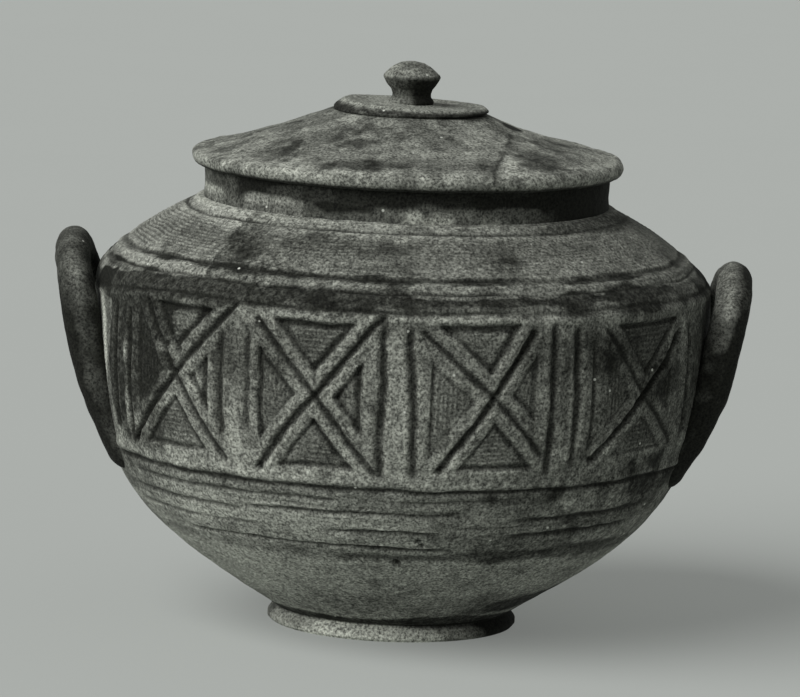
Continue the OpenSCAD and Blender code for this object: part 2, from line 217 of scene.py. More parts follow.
# Noises by what they are for. Each is made of layers: strength, width of the lumps in mm, seed
NOISES = {
    "hand_across": ((0.7, 15, 1), (0.3, 4, 2)),
    "hand_up": ((0.7, 17, 3), (0.3, 4.5, 4)),
    "line_breaks": ((1, 9, 5), (0.5, 3, 6)),
    "border_stray": ((0.9, 30, 7),),
    "comb_strength": ((0.4, 30, 8),),
    "comb_stray": ((0.8, 26, 9),),
    "wobble": ((1, 60, 10), (0.5, 22, 11)),
    "wall_skin": ((0.16, 6, 12), (0.08, 2.4, 13)),
    "smoke_edge": ((0.35, 18, 14), (0.2, 7, 15)),
    "groove_width": ((0.3, 7, 16), (0.2, 3, 17)),
    "border_fade": ((1, 26, 18),),
    "inner_skin": ((0.35, 16, 20),),
    "turned_skin": ((0.6, 14, 40), (0.3, 5, 41), (0.15, 2.2, 42)),
    "turned_dirt": ((1, 5, 41),),
    "break_jag": ((1, 7, 0), (0.35, 2.2, 1)),
    "handle_skin": ((0.5, 16, 0), (0.3, 6, 1), (0.1, 2.3, 2)),
    "handle_smoke": ((0.25, 13, 3), (0.25, 5, 4)),
    "lip_wave": ((0.8, 34, 60),),
    "lid_smoke": ((1, 11, 61), (1.1, 5, 62)),
    "lip_wear": ((1, 5, 63),),
    "ring_stray": ((2, 30, 64),),
    "crack_stray": ((0.8, 5, 65),),
    "crack_dirt": ((1, 8, 66),),
    "boss_smoke": ((1, 9, 67),),
    "boss_dirt": ((1, 6, 68),),
    "knob_smoke": ((1, 5, 69),),
    "lid_bleach": ((1, 11, 70), (0.9, 4.5, 71)),
}


def lumps(points, size, seed):
    """Smooth noise from -1 to 1 at each point, with lumps about size wide."""
    p = points / size + SEED_STEP * seed
    cell = np.floor(p).astype(int)
    f = p - cell
    f = f * f * (3 - 2 * f)
    total = np.zeros(points.shape[:-1])
    for corner in np.ndindex(2, 2, 2):
        weight = np.ones(points.shape[:-1])
        for axis in range(3):
            weight = weight * (f[..., axis] if corner[axis] else 1 - f[..., axis])
        i, j, k = ((cell[..., axis] + corner[axis]) % LATTICE_SIDE for axis in range(3))
        total = total + weight * LATTICE[i, j, k]
    return total


def noise(points, name, draw=0):
    """A noise of the table at each point; another draw has the same lumps in other places."""
    return sum(strength * lumps(points, size, seed + draw) for strength, size, seed in NOISES[name])


def ease(value, low, high):
    """0 below low, 1 above high, smooth between."""
    t = np.clip((value - low) / (high - low), 0, 1)
    return t * t * (3 - 2 * t)


def bell(value, width):
    """1 at zero, falling smoothly to nothing past width."""
    return np.exp(-((value / width) ** 2))


def turn_from(azimuth, middle):
    """Azimuth less a middle one, between -180 and 180."""
    return (azimuth - middle + HALF_TURN) % FULL_TURN - HALF_TURN


# Meshes

def around(radius, azimuth, z):
    """Points at a radius, azimuth and height, in mm."""
    radius, azimuth, z = np.broadcast_arrays(radius, np.radians(azimuth), z)
    return np.stack([radius * np.sin(azimuth), -radius * np.cos(azimuth), z], -1)


def azimuth_of(points):
    """Azimuths of points, between -180 and 180."""
    return turn_from(np.degrees(np.arctan2(points[..., 0], -points[..., 1])), 0)


def from_axis(points):
    """Distances of points from the jar's axis."""
    return np.hypot(points[..., 0], points[..., 1])


def grid_faces(rows, columns, wrap_rows, wrap_columns):
    """Quads over a grid of points numbered row by row."""
    i = np.arange(rows if wrap_rows else rows - 1)
    j = np.arange(columns if wrap_columns else columns - 1)
    i, j = (a.ravel() for a in np.meshgrid(i, j, indexing="ij"))
    below, above = i * columns, (i + 1) % rows * columns
    beside = (j + 1) % columns
    return np.stack([below + j, below + beside, above + beside, above + j], -1)


# What a piece's points carry for its material: soot in the cuts, which also paints shade in hollows; wear on
# the edges; and smoke in broad patches, below zero where the clay is bleached, which also holds painted shade
# and painted light
MARKS = ("soot", "wear", "smoke")


def make_piece(name, points, faces, marks, crease, weld):
    """A mesh object in metres from points in mm, with float attributes and outward faces."""
    mesh = bpy.data.meshes.new(name)
    mesh.from_pydata((points * MM).tolist(), [], [list(map(int, f)) for f in faces])
    for key, values in marks.items():
        attribute = mesh.attributes.new(key, "FLOAT", "POINT")
        attribute.data.foreach_set("value", values.ravel().astype(np.float32))
    work = bmesh.new()
    work.from_mesh(mesh)
    if weld:
        bmesh.ops.remove_doubles(work, verts=work.verts, dist=0.01 * MM)
    bmesh.ops.triangulate(work, faces=[f for f in work.faces if len(f.verts) > 4])
    bmesh.ops.recalc_face_normals(work, faces=work.faces)
    if work.calc_volume(signed=True) < 0:
        bmesh.ops.reverse_faces(work, faces=work.faces)
    work.to_mesh(mesh)
    work.free()
    mesh.polygons.foreach_set("use_smooth", [True] * len(mesh.polygons))
    mesh.set_sharp_from_angle(angle=math.radians(crease))
    piece = bpy.data.objects.new(name, mesh)
    bpy.context.scene.collection.objects.link(piece)
    return piece


def pole_fan(ring, pole, wrap):
    """Triangles from a ring of points to one point."""
    following = ring[1:] + ring[:1] if wrap else ring[1:]
    return [(a, b, pole) for a, b in zip(ring, following)]


def lathe(name, points, marks, poles=(), caps=None, crease=40):
    """A closed mesh turned from a section. points is rows by columns by 3, round the section.
    With poles, the section is open and its two ends run to these points; without, it is a loop.
    caps are the rows that close the ends of a piece that isn't a full turn."""
    rows, columns = points.shape[:2]
    whole = caps is None
    flat = points.reshape(-1, 3)
    faces = [tuple(f) for f in grid_faces(rows, columns, not poles, whole)]
    values = {key: np.asarray(value).ravel() for key, value in marks.items()}
    for row, pole in zip((0, rows - 1), poles):
        ring = [row * columns + j for j in range(columns)]
        faces += pole_fan(ring, len(flat), whole)
        flat = np.vstack([flat, [pole]])
        values = {key: np.append(value, value[row * columns]) for key, value in values.items()}
    if not whole:
        faces.append([row * columns for row in caps])
        faces.append([row * columns + columns - 1 for row in caps])
    return make_piece(name, flat, faces, values, crease, weld=not whole)


# The jar's outline

# Points on each of its three curves
FINE_STEPS = 400


class Outline:
    """The jar's outside as a curve: radius and height by distance along it, in mm."""

    def __init__(self):
        wall = settings().wall
        foot = np.array([in_mm(wall, "foot_r") - in_mm(wall, "foot_draw"), in_mm(wall, "foot_h")])
        belly = np.array([in_mm(wall, "belly_r"), in_mm(wall, "upright_z")])
        slope = np.array([math.cos(wall.bowl_slope), math.sin(wall.bowl_slope)])
        guides = [foot, foot + in_mm(wall, "low_reach") * slope,
                  belly - [0, in_mm(wall, "high_reach")], belly]
        t = np.linspace(0, 1, FINE_STEPS)[:, None]
        bowl = sum(math.comb(3, k) * (1 - t) ** (3 - k) * t ** k * guides[k] for k in range(4))
        turn_r = in_mm(wall, "turn_r")
        angle = np.linspace(0, math.pi / 2 - wall.low_slope, FINE_STEPS)
        turn = np.stack([belly[0] - turn_r + turn_r * np.cos(angle),
                         in_mm(wall, "turn_z") + turn_r * np.sin(angle)], -1)
        spread = math.sin(wall.low_slope) - math.sin(wall.high_slope)
        reach = (turn[-1, 0] - in_mm(wall, "neck_r")) / spread
        centre = turn[-1] - reach * np.array([math.sin(wall.low_slope), math.cos(wall.low_slope)])
        angle = np.linspace(math.pi / 2 - wall.low_slope, math.pi / 2 - wall.high_slope, FINE_STEPS)[1:, None]
        shoulder = centre + reach * np.hstack([np.cos(angle), np.sin(angle)])
        self.points = np.vstack([bowl, turn, shoulder])
        steps = np.linalg.norm(np.diff(self.points, axis=0), axis=1)
        self.along = np.concatenate([[0], np.cumsum(steps)])

    def at(self, along):
        """Radius and height at distances along the outline."""
        return (np.interp(along, self.along, self.points[:, 0]),
                np.interp(along, self.along, self.points[:, 1]))

    def along_at(self, z):
        """Distance along the outline at a height."""
        return np.interp(z, self.points[:, 1], self.along)

    def radius_at(self, z):
        """Radius of the outline at a height."""
        return np.interp(z, self.points[:, 1], self.points[:, 0])

    def normal(self, along):
        """Outward direction of the outline, as its radius and height parts."""
        gap = 0.4
        r0, z0 = self.at(along - gap)
        r1, z1 = self.at(along + gap)
        size = np.hypot(r1 - r0, z1 - z0)
        return (z1 - z0) / size, -(r1 - r0) / size


# The relief of the wall

# The four panels of crossed bars. cross and corners are azimuth and height: the bars run from the cross
# to the top left, top right, bottom right and bottom left corner. limits are the height of the upper
# triangle's top, the azimuth of the right one's side, the height of the lower one's foot and the azimuth
# of the left one's side. bars says how deep the two grooves are. edges says how strongly each triangle
# (upper, right, lower, left) is outlined, on its outer side, then after the bar before it and the bar
# after it, going clockwise.
PANELS = (
    {"cross": (-45.2, 139), "corners": ((-53.5, 173), (-31, 177), (-34, 99), (-59, 101)),
     "limits": (172.5, -37.3, 101.5, -56.0), "bars": (0.75, 1.05),
     "edges": ((0.9, 0.5, 1.3), (1.3, 0.3, 1.0), (0.8, 1.0, 0.6), (0.2, 0.2, 0.1))},
    {"cross": (-15.4, 136.5), "corners": ((-26.8, 171.5), (-3, 176), (-4, 98), (-27, 98)),
     "limits": (171.8, -6.5, 100.3, -26.2), "bars": (1.1, 1.2),
     "edges": ((1.4, 0.8, 1.25), (1.4, 1.2, 1.0), (0.8, 1.3, 0.5), (0.9, 0.3, 0.8))},
    {"cross": (17.3, 138), "corners": ((3.8, 170), (24.5, 171), (27.5, 108), (7.4, 101)),
     "limits": (173.2, 25.2, 102.0, 5.5), "bars": (0.9, 1.5),
     "edges": ((2.5, 1.0, 1.4), (0.3, 0.2, 0.7), (0.9, 0.9, 0.4), (0.5, 0.2, 0.3))},
    {"cross": (50.5, 134.5), "corners": ((40, 169), (62, 164), (62, 108), (38.2, 104)),
     "limits": (170.8, 59, 106, 40.5), "bars": (0.4, 1.5),
     "edges": ((0.9, 0.25, 0.6), (0.1, 0.2, 0.2), (0.25, 0.3, 0.2), (0.1, 0.15, 0.2))},
)
# The upright grooves beside and between them: azimuth at the top and at the foot, lowest and highest
# point, depth as a share
UPRIGHTS = (
    (-65.2, -65.8, 104, 164, 1.4), (-59.4, -59.6, 103, 165, 1.3), (-34.0, -34.4, 112, 162, 1.0),
    (-28.3, -28.6, 116, 164, 0.8), (-2.8, -3.2, 97, 176, 1.35), (1.7, 3.3, 97, 170, 1.2),
    (28.4, 28.7, 100, 173, 1.3), (31.4, 31.8, 112, 160, 0.4), (33.3, 33.8, 103, 170, 1.35),
    (37.2, 37.5, 106, 164, 0.7), (66.3, 66.6, 104, 166, 1.0),
)
# Border lines round the whole jar: height, half width, raise (or cut if below zero), soot and painted shade,
# how
# # far the line runs down on the jar's left, in mm, and how much fainter it is on its right
BORDERS = (
    (210.3, 1.1, -0.9, 0.9, 0, 0.3), (212.9, 1.8, 0.7, 0.0, 0, 0), (191.6, 1.1, -0.9, 0.95, 1.6, 0.4),
    (188.6, 1.5, 0.6, 0.0, 1.6, 0), (185.9, 0.8, -0.7, 0.7, 3, 0.2), (178.3, 0.8, -0.6, 0.6, 9, 0.3),
    (175.2, 1.7, 0.75, 0.0, 9, 0), (94.8, 3.2, 0.45, 0.0, 0, 0),
)
# Shorter turned lines: height at the middle, rise across it, middle azimuth, half spread in degrees,
# # half width, raise (or cut), soot and painted shade
TURNED_LINES = (
    (90.4, 0.0, -34, 36, 1.4, -0.9, 1.0), (91.2, 2.6, 36, 36, 1.1, -1.1, 0.9),
    (84.2, 0.6, -36, 26, 1.0, -0.5, 0.75), (85.4, 2.4, 12, 13, 0.7, -0.5, 0.6),
    (80.4, -0.8, -12, 26, 0.8, -0.4, 0.5), (77.6, 1.8, -9, 23, 1.2, -0.9, 1.0),
    (75.0, -0.6, -50, 18, 1.2, -0.7, 0.75), (75.4, 2.6, 42, 18, 1.5, -0.9, 0.95),
    (71.3, 0.5, 20, 18, 0.8, -0.4, 0.5), (67.8, 1.6, -3, 12, 1.1, -0.9, 0.9),
    (66.6, 2.4, 41, 17, 1.4, -1.2, 1.0), (67.0, -1.0, -48, 20, 1.1, -0.4, 0.7),
    (63.4, -1.6, -5, 9, 2.0, 0.7, 0.0), (58.9, 0.8, -26, 26, 1.0, -0.8, 0.85),
    (58.6, 0.0, 2, 11, 1.2, -0.8, 0.95), (57.2, -0.6, 49, 12, 2.4, -0.5, 0.7),
    (53.4, 0.8, 2, 15, 2.2, -0.4, 0.6),
)
# Lowest and highest point of the combing on the shoulder
COMBED = (193, 209)
# Chips: azimuth, height, size
CHIPS = ((0.6, 50.5, 2.2), (5.0, 64.0, 1.4), (5.8, 61.6, 1.4), (-33, 58.4, 1.6), (-26.3, 98.3, 1.6),
         (-12.5, 180.5, 1.6), (-44.2, 150.5, 1.5), (-47.2, 152.5, 1.3), (35.0, 151.0, 0.9),
         (-59.0, 100.5, 1.6))


# Smoke from the fire, and bleached clay where the strength is below zero, and among them painted shade and
# painted light. Bands
# # all round: height, half reach along the wall in mm, strength, how far the band runs down on the jar's
# left, in mm. The band at
# # height 10 is painted shade where the bowl meets the foot
SMOKE_AND_PAINTED_SHADE_BANDS = ((142, 36, 0.38, 0), (181, 5.5, 0.65, 9), (191.6, 2.2, 0.5, 1.6), (188, 4, 0.35, 1.6),
               (200, 13, 0.18, 0), (88, 4.5, 0.3, 0), (54, 4, 0.4, 0), (30, 24, 0.06, 0), (10, 3.6, 1.2, 0))
# Clouds: azimuth, height, half spread in degrees, half reach along the wall in mm, strength. Some are painted
# light and shade:
# # the pale strip beside the left handle at -74.5, the pale right edge of the shoulder at 80, the pale lower
# left of the bowl at -60,
# # and the dark low right of the bowl just above the foot at 26, 36, 54 and 56
SMOKE_AND_PAINTED_SHADING_CLOUDS = (
    (-59.5, 154, 11, 28, 0.8), (-65.5, 134, 4.2, 40, 0.9), (-56, 120, 7, 24, 0.45),
    (-60, 174, 17, 8, 1.2), (-66, 184, 28, 3, 0.75), (-50, 179.5, 13, 4, 0.8), (-18, 203, 36, 12, 0.28),
    (-58, 202, 20, 12, 0.28), (-14, 205, 18, 7, 0.25), (-24, 193, 42, 6, 0.25), (-32, 158, 20, 12, 0.22),
    (-51, 138, 6, 10, 0.3), (56, 141, 6, 10, 0.3), (56, 19, 20, 11, 0.35), (26, 11, 40, 4.5, 0.9),
    (60, 134, 28, 52, 0.3), (77, 134, 11.5, 46, 0.2), (40, 100, 14, 10, 0.35), (30, 158, 14, 12, 0.3),
    (47, 184.5, 13, 4, 0.5), (26, 183.5, 12, 3.6, 0.35), (44, 158, 5, 12, 0.1), (34, 204, 18, 8, 0.26),
    (-34.5, 207, 6, 7, -0.35), (-41.5, 205, 3.5, 9, 0.35), (-62, 213.2, 36, 2, -0.2),
    (80, 203, 10, 10, -0.2), (-61.4, 130, 1.1, 26, -0.4),
    (-65, 80, 10, 16, 0.3), (60, 73, 20, 5, 0.3), (-57, 111, 3.5, 3, -0.3), (68, 90, 30, 14, 0.3),
    (50, 66, 34, 22, 0.32), (12, 82, 22, 12, 0.25), (48, 178, 30, 5, -0.15), (2, 184, 34, 5, 0.4),
    (58, 211, 30, 5, 0.6), (-74.5, 140, 4.4, 28, -1.3), (-20, 74, 36, 12, -0.25), (-60, 42, 36, 30, -0.3),
    (-45, 63, 20, 4, 0.3), (24, 60, 18, 10, 0.3), (36, 21, 60, 14, 0.3), (54, 20, 24, 13, 0.5),
    (2, 67, 12, 3, 0.3), (-63, 67, 24, 4, -0.25), (72, 38, 14, 14, -0.15),
    (-16, 94, 30, 5, -0.12), (8, 118, 12, 22, -0.1), (-33, 144, 4, 16, 0.25), (-24, 140, 4, 18, 0.25),
    (-61, 134, 0.9, 26, -0.4), (-58.5, 142, 1.6, 2, -0.35), (-46, 124, 3, 4, -0.35),
    (-40, 137, 1.6, 6, -0.4), (-43.5, 166, 2.6, 4, -0.3), (-31.3, 114, 1.6, 18, -0.5),
    (-24.5, 172.5, 1.8, 3, -0.25), (-49.5, 124, 1.2, 3, -0.35), (-48.8, 158, 0.8, 6, -0.3),
    (-0.6, 125, 1.7, 46, -0.3), (0, 175, 34, 1.6, -0.25), (63.3, 157, 1.3, 12, -0.35),
    (26.7, 130, 1.0, 32, -0.2), (31, 128, 1.2, 24, -0.2),
)
# Clouds on the neck and the foot, in the same order. On the neck, the dark band at its top is the painted
# shadow of the lid,
# # the dark patch at 68 painted shade on its right and the pale one at -76 painted light on its upper left.
# On the foot, the dark
# # band at 10.3 is the painted shadow under the bowl, the dark patches at 70 and 46 painted shade on its
# right, and the pale one
# # at -24 painted light on its front
NECK_SMOKE_AND_PAINTED_SHADING = (
    (0, 229, 600, 7.5, 0.95), (-76, 226, 17, 8, -0.6), (-40, 222, 12, 12, 0.15), (-28, 217, 26, 4, 0.45),
    (-34, 226, 12, 4, -0.2), (6, 217, 7, 6, -0.6), (68, 219, 30, 16, 1.0), (33, 222, 12, 6, 0.3),
    (-56, 216, 16, 4, 0.2),
)
FOOT_SMOKE_AND_PAINTED_SHADING = (
    (-24, 3, 60, 6, -0.95), (180, 4, 80, 8, -0.3), (70, 4, 26, 8, 1.2), (0, 10.3, 600, 2.3, 1.5),
    (46, 8.8, 44, 2.6, 0.7), (-66, 6, 22, 8, 0.5),
)
# Clouds on the lid, seen from above: place across and away from the viewer and half sizes, all in mm,
# # then strength. The pale patch at 72, 20 is painted light where the boss's shadow falls on the lid's right
LID_SMOKE_AND_PAINTED_SHADING = (
    (-61, -51, 13, 15, 0.42), (-24, -92, 21, 8, 0.55), (-49, -17, 18, 14, 0.3), (-27, -56, 10, 15, 0.3),
    (62, -62, 14, 17, 0.55), (52, -2, 4, 8, 1.2), (73, -16, 13, 15, 0.3), (13, -58, 13, 8, 0.28),
    (38, -80, 6, 9, 0.35), (10, -90, 13, 6, 0.22), (-88, -25, 12, 12, 0.2), (26, -70, 13, 10, -0.12),
    (50, -70, 4, 11, -0.3), (-70, -28, 8, 11, -0.25), (-12, -84, 3, 11, -0.2), (-52, -84, 12, 8, -0.15),
    (74, -90, 20, 12, -0.15), (0, 0, 300, 300, 0.06), (40, 70, 26, 16, 0.35), (-50, 55, 22, 22, 0.3),
    (72, 20, 22, 16, -0.45), (96, -30, 16, 30, -0.15), (-10, 95, 20, 12, 0.25),
)
# A crack down the lid's front, seen from above: place across at each place away from the viewer, mm
CRACK_Y = (-106, -90, -68, -49, -30, 0)
CRACK_X = (43, 42, 45.5, 48.5, 50.5, 51.5)


def cloud(edge, across, up, strength):
    """Darkening by smoke and painted shade in a patch, or lightening below zero, where across and up run from
    -1 to 1. It fades from 0.7 to 1.3 of the way out; edge is how far its outline is drawn in there."""
    return strength * ease(-np.hypot(across, up) * edge, -1.3, -0.7)


def ragged(points):
    """How far the outline of a patch of smoke and painted shading is drawn in at each point, about 1."""
    return 1 + noise(points, "smoke_edge")


def clouds_round(points, azimuth, up, table, level_of=float):
    """Smoke and painted shading from a table of clouds on a turned surface. level_of gives a height in the
    measure of up.
    """
    edge = ragged(points)
    return sum(cloud(edge, turn_from(azimuth, middle) / spread, (up - level_of(z)) / reach, strength)
               for middle, z, spread, reach, strength in table)


def from_line(x, y, start, end):
    """Distance from a line between two points on the rolled-out wall, and a fade past its ends."""
    (x0, y0), (x1, y1) = start, end
    dx, dy = x1 - x0, y1 - y0
    size = np.hypot(dx, dy)
    t = ((x - x0) * dx + (y - y0) * dy) / size
    return ((x - x0) * dy - (y - y0) * dx) / size, ease(t, -1.2, 1.2) * ease(size - t, -1.2, 1.2)


# Degrees to each side of its middle within which a panel, and an upright or a chip, is drawn
PANEL_REACH = 24
MARK_REACH = 20
# Middle and half spread, in degrees, of the lines' dip on the jar's left and of the strong combing there
LEFT_SAG = (-88, 26)
LEFT_COMBING = (-72, 34)
# Azimuths on the jar's right at which border lines begin to fade, are faint, begin to return and are back
RIGHT_FADE = (0, 30, 130, 170)
# Steps of the grid over which heights are averaged to tell high points from low ones
SMOOTH_STEPS = 5


class Relief:
    """Heights in mm, soot and painted shade, wear, and smoke and painted shading over a grid of the jar's
    wall, built up mark by mark.
    """

    def __init__(self, outline, azimuth, along):
        self.outline = outline
        self.sizes = settings().relief
        self.radius, self.z = outline.at(along)
        self.azimuth, self.along = azimuth, along
        self.points = around(self.radius, azimuth, self.z)
        self.height = np.zeros(azimuth.shape)
        self.soot = np.zeros(azimuth.shape)
        self.wear = np.zeros(azimuth.shape)
        self.smoke = np.zeros(azimuth.shape)
        self.thick = 1 + noise(self.points, "groove_width")
        hand = in_mm(self.sizes, "hand")
        self.stray_x = hand * noise(self.points, "hand_across")
        self.level = along + hand * noise(self.points, "hand_up")
        self.firm = ease(noise(self.points, "line_breaks"), -1.0, 0.1)

    def place(self, azimuth, z, middle):
        """Position on the rolled-out wall, in mm from a middle azimuth at this grid's own radius."""
        return np.radians(turn_from(azimuth, middle)) * self.radius, self.outline.along_at(z)

    def here(self, middle):
        """The grid's own positions on the rolled-out wall, with the hand's wobble in them."""
        x = np.radians(turn_from(self.azimuth, middle)) * self.radius
        return x + self.stray_x, self.level

    def at_least(self, least):
        """A strength that falls to its least value where the hand's line breaks up."""
        return least + (1 - least) * self.firm

    def near(self, middle, reach):
        """Which points lie within some degrees of a middle azimuth."""
        return np.abs(turn_from(self.azimuth, middle)) < reach

    def darken(self, soot):
        """Lays soot and painted shade where there is less of it."""
        self.soot = np.maximum(self.soot, soot)

    def press(self, distance, width, depth, soot, where):
        """A groove along distance zero, with the clay pushed up beside it."""
        width = width * self.thick
        cut = np.exp(-np.abs(distance / width) ** 3) * where
        burr = bell(np.abs(distance) - 2.1 * width, 0.9 * width) * where
        self.height += 0.22 * depth * burr - depth * cut
        # The cut is darkened with soot, which also paints the shade in the groove
        self.darken(soot * cut * self.at_least(0.45))

    def lift(self, distance, width, height, where):
        """A soft ridge along distance zero."""
        rise = bell(distance, width) * where
        self.height += height * rise
        self.wear = np.maximum(self.wear, rise * self.firm)

    def panel(self, panel, turn):
        """Two crossed bars with a groove down each and four sunk, hatched triangles between them."""
        middle = panel["cross"][0] + turn
        near = self.near(middle, PANEL_REACH)
        if not near.any():
            return
        x, y = self.here(middle)
        corners = [self.place(azimuth + turn, z, middle) for azimuth, z in panel["corners"]]
        centre = self.place(middle, panel["cross"][1], middle)
        width, depth = in_mm(self.sizes, "groove_w"), in_mm(self.sizes, "groove_d")
        bar, field = in_mm(self.sizes, "bar_half"), in_mm(self.sizes, "field_d")
        hatch = in_mm(self.sizes, "hatch")
        gaps = []
        for k, corner in enumerate(corners):
            gap, fade = from_line(x, y, centre, corner)
            gaps.append(gap)
            strength = panel["bars"][k % 2]
            self.press(gap, width * (0.75 + 0.25 * strength), depth * strength, 0.97, fade * near)
        top, right, low, left = panel["limits"]
        ends = (self.outline.along_at(top) - y, self.place(right + turn, top, middle)[0] - x,
                y - self.outline.along_at(low), x - self.place(left + turn, top, middle)[0])
        for k, end in enumerate(ends):
            sides = (end, gaps[k] - bar, -gaps[(k + 1) % 4] - bar)
            t = np.min(sides, 0)
            sunk = ease(t, -0.3, 1.0) * near
            across = y if k % 2 == 0 else x
            lines = np.sin(2 * math.pi * across / hatch + 3 * self.stray_x)
            deep = ease(t, 1.5, 3.0) * near * self.firm
            sharpness = min(1, 0.35 + 0.5 * max(panel["edges"][k]))
            self.height -= field * sharpness * sunk * self.at_least(0.8) - 0.2 * lines * deep
            self.darken((0.26 - 0.2 * lines) * deep)
            for i, strength in enumerate(panel["edges"][k]):
                others = np.minimum(sides[i - 1], sides[i - 2])
                where = ease(others, -0.8, 0.8) * near * self.at_least(0.55)
                half = width * (0.55 + 0.4 * strength)
                self.press(sides[i] - half, half, 0.6 * depth * min(strength, 1.3),
                           min(0.97, 0.25 + 0.65 * strength), where)
        self.wear = np.maximum(self.wear, 0.75 * near * self.firm * ease(-self.soot, -0.3, -0.05))

    def upright(self, top_azimuth, low_azimuth, low, high, depth, turn):
        """A groove up the wall, nearly upright."""
        middle = low_azimuth + turn
        x, y = self.here(middle)
        low, high = self.outline.along_at(low), self.outline.along_at(high)
        lean = np.radians(top_azimuth - low_azimuth) * self.radius * (y - low) / (high - low)
        where = ease(y, low - 3, low + 3) * ease(-y, -high - 3, 3 - high)
        where = where * self.near(middle, MARK_REACH) * self.at_least(0.5)
        width = in_mm(self.sizes, "groove_w") * (0.6 + 0.5 * depth)
        self.press(x - lean, width, 0.8 * in_mm(self.sizes, "groove_d") * depth, 0.9 * min(depth, 1), where)

    def left_sag(self, drop):
        """How far a line that runs down on the jar's left lies below its height there."""
        middle, spread = LEFT_SAG
        return drop * bell(turn_from(self.azimuth, middle), spread)

    def border(self, z, width, height, soot, drop, fade):
        """A line or ridge all round, which runs down on the left and fades on the right."""
        stray = self.left_sag(drop) + noise(self.points, "border_stray")
        distance = self.level + stray - self.outline.along_at(z)
        rightward = turn_from(self.azimuth, 0)
        fading, faint, returning, back = RIGHT_FADE
        where = 1 - fade * ease(rightward, fading, faint) * ease(-rightward, -back, -returning)
        if height > 0:
            self.lift(distance, width, height, where)
        else:
            where = where * (0.55 + 0.45 * ease(noise(self.points, "border_fade"), -0.4, 0.2))
            self.press(distance, width, -height, soot, where)

    def turned_line(self, z, rise, middle, spread, width, height, soot, turn):
        """A line or ridge part of the way round, which may climb."""
        away = turn_from(self.azimuth, middle + turn)
        distance = self.level - self.outline.along_at(z) - rise * away / (2 * spread)
        where = ease(spread - np.abs(away), -2, 4)
        if height > 0:
            self.lift(distance, width, height, where)
        else:
            self.press(distance, width, -height, soot, where)

    def comb(self, low, high):
        """Fine lines combed round the shoulder, most of all on its left."""
        low, high = self.outline.along_at(low), self.outline.along_at(high)
        where = ease(self.level, low, low + 2) * ease(-self.level, -high, 2 - high)
        middle, spread = LEFT_COMBING
        strength = 0.24 + noise(self.points, "comb_strength")
        strength += 0.75 * bell(turn_from(self.azimuth, middle), spread)
        strokes = where * np.clip(strength, 0.1, 1.3)
        level = self.level + noise(self.points, "comb_stray")
        wave = np.sin(2 * math.pi * level / in_mm(self.sizes, "comb"))
        self.height += in_mm(self.sizes, "comb_d") * wave * strokes
        self.darken(0.55 * ease(-wave, 0.1, 0.9) * strokes * self.firm)

    def chip(self, azimuth, z, size, turn):
        """A small dark chip."""
        x, y = self.here(azimuth + turn)
        away = np.hypot(x, y - self.outline.along_at(z))
        dent = ease(-away, -1.4 * size, -0.5 * size) * self.near(azimuth + turn, MARK_REACH)
        self.height -= 0.9 * size * dent
        self.darken(dent)

    def smoked(self):
        """The smoke of the fire and painted shading all over the wall, the same on the front and the back."""
        edge = ragged(self.points)
        for z, reach, strength, drop in SMOKE_AND_PAINTED_SHADE_BANDS:
            above = self.along + self.left_sag(drop) - self.outline.along_at(z)
            self.smoke += cloud(edge, 0, above / reach, strength)
        for turn in (0, HALF_TURN):
            self.smoke += clouds_round(self.points, self.azimuth - turn, self.along, SMOKE_AND_PAINTED_SHADING_CLOUDS,
                                       self.outline.along_at)

    def finish(self):
        """Soot and painted shade in what is low and wear on what is high, then the wall's own unevenness."""
        rise = self.height - smoothed(self.height, SMOOTH_STEPS)
        # What lies below its neighbours is darkened: dirt, and painted shade in the hollows
        self.soot = np.clip(np.maximum(self.soot, 0.8 * ease(-rise, 0.1, 0.8)), 0, 1)
        self.wear = np.clip(np.maximum(self.wear, ease(rise, 0.12, 0.6)), 0, 1) * (1 - self.soot)
        self.wear *= 1 - 0.8 * np.clip(self.smoke, 0, 1)
        wobble = in_mm(self.sizes, "wobble")
        self.height += wobble * noise(self.points, "wobble") + noise(self.points, "wall_skin")


def smoothed(values, reach):
    """Each value averaged with its neighbours, reach steps each way along both axes."""
    for axis in (0, 1):
        padded = np.concatenate([np.take(values, [0] * reach, axis), values,
                                 np.take(values, [-1] * reach, axis)], axis)
        sums = np.cumsum(padded, axis)
        first = np.take(sums, range(0, values.shape[axis]), axis)
        last = np.take(sums, range(2 * reach, 2 * reach + values.shape[axis]), axis)
        values = (last - first) / (2 * reach)
    return values


def wall_relief(outline, azimuth, along):
    """The relief of the whole jar wall on one grid of it."""
    relief = Relief(outline, azimuth, along)
    for turn in (0, HALF_TURN):
        for panel in PANELS:
            relief.panel(panel, turn)
        for upright in UPRIGHTS:
            relief.upright(*upright, turn)
        for line in TURNED_LINES:
            relief.turned_line(*line, turn)
        for chip in CHIPS:
            relief.chip(*chip, turn)
    for border in BORDERS:
        relief.border(*border)
    relief.comb(*COMBED)
    relief.smoked()
    relief.finish()
    return relief


# Pieces of the wall

# Steps in mm along the outline of the belly, the shoulder and the bowl
BELLY_STEP = 0.95
SHOULDER_STEP = 0.6
BOWL_STEP = 1.1
# Columns of the wall's pieces
COLUMNS_PER_DEGREE = 2.4
BOWL_COLUMNS = 720
# Rows inside a piece of the wall, inside the bowl, and on its floor and underside
INNER_ROWS = 8
BOWL_INNER_ROWS = 26
FLOOR_ROWS = 6
# Height of the throwing rings inside the bowl, in mm
INNER_RINGS = 0.3


def rows_between(outline, low, high, step):
    """Distances along the outline from one height to another, in even steps."""
    start, end = outline.along_at(low), outline.along_at(high)
    return np.linspace(start, end, max(2, round((end - start) / step)) + 1)


def whole_turn(rows, columns):
    """Azimuths of a full turn, the same in each row."""
    return np.broadcast_to(np.arange(columns) * FULL_TURN / columns, (len(rows), columns))


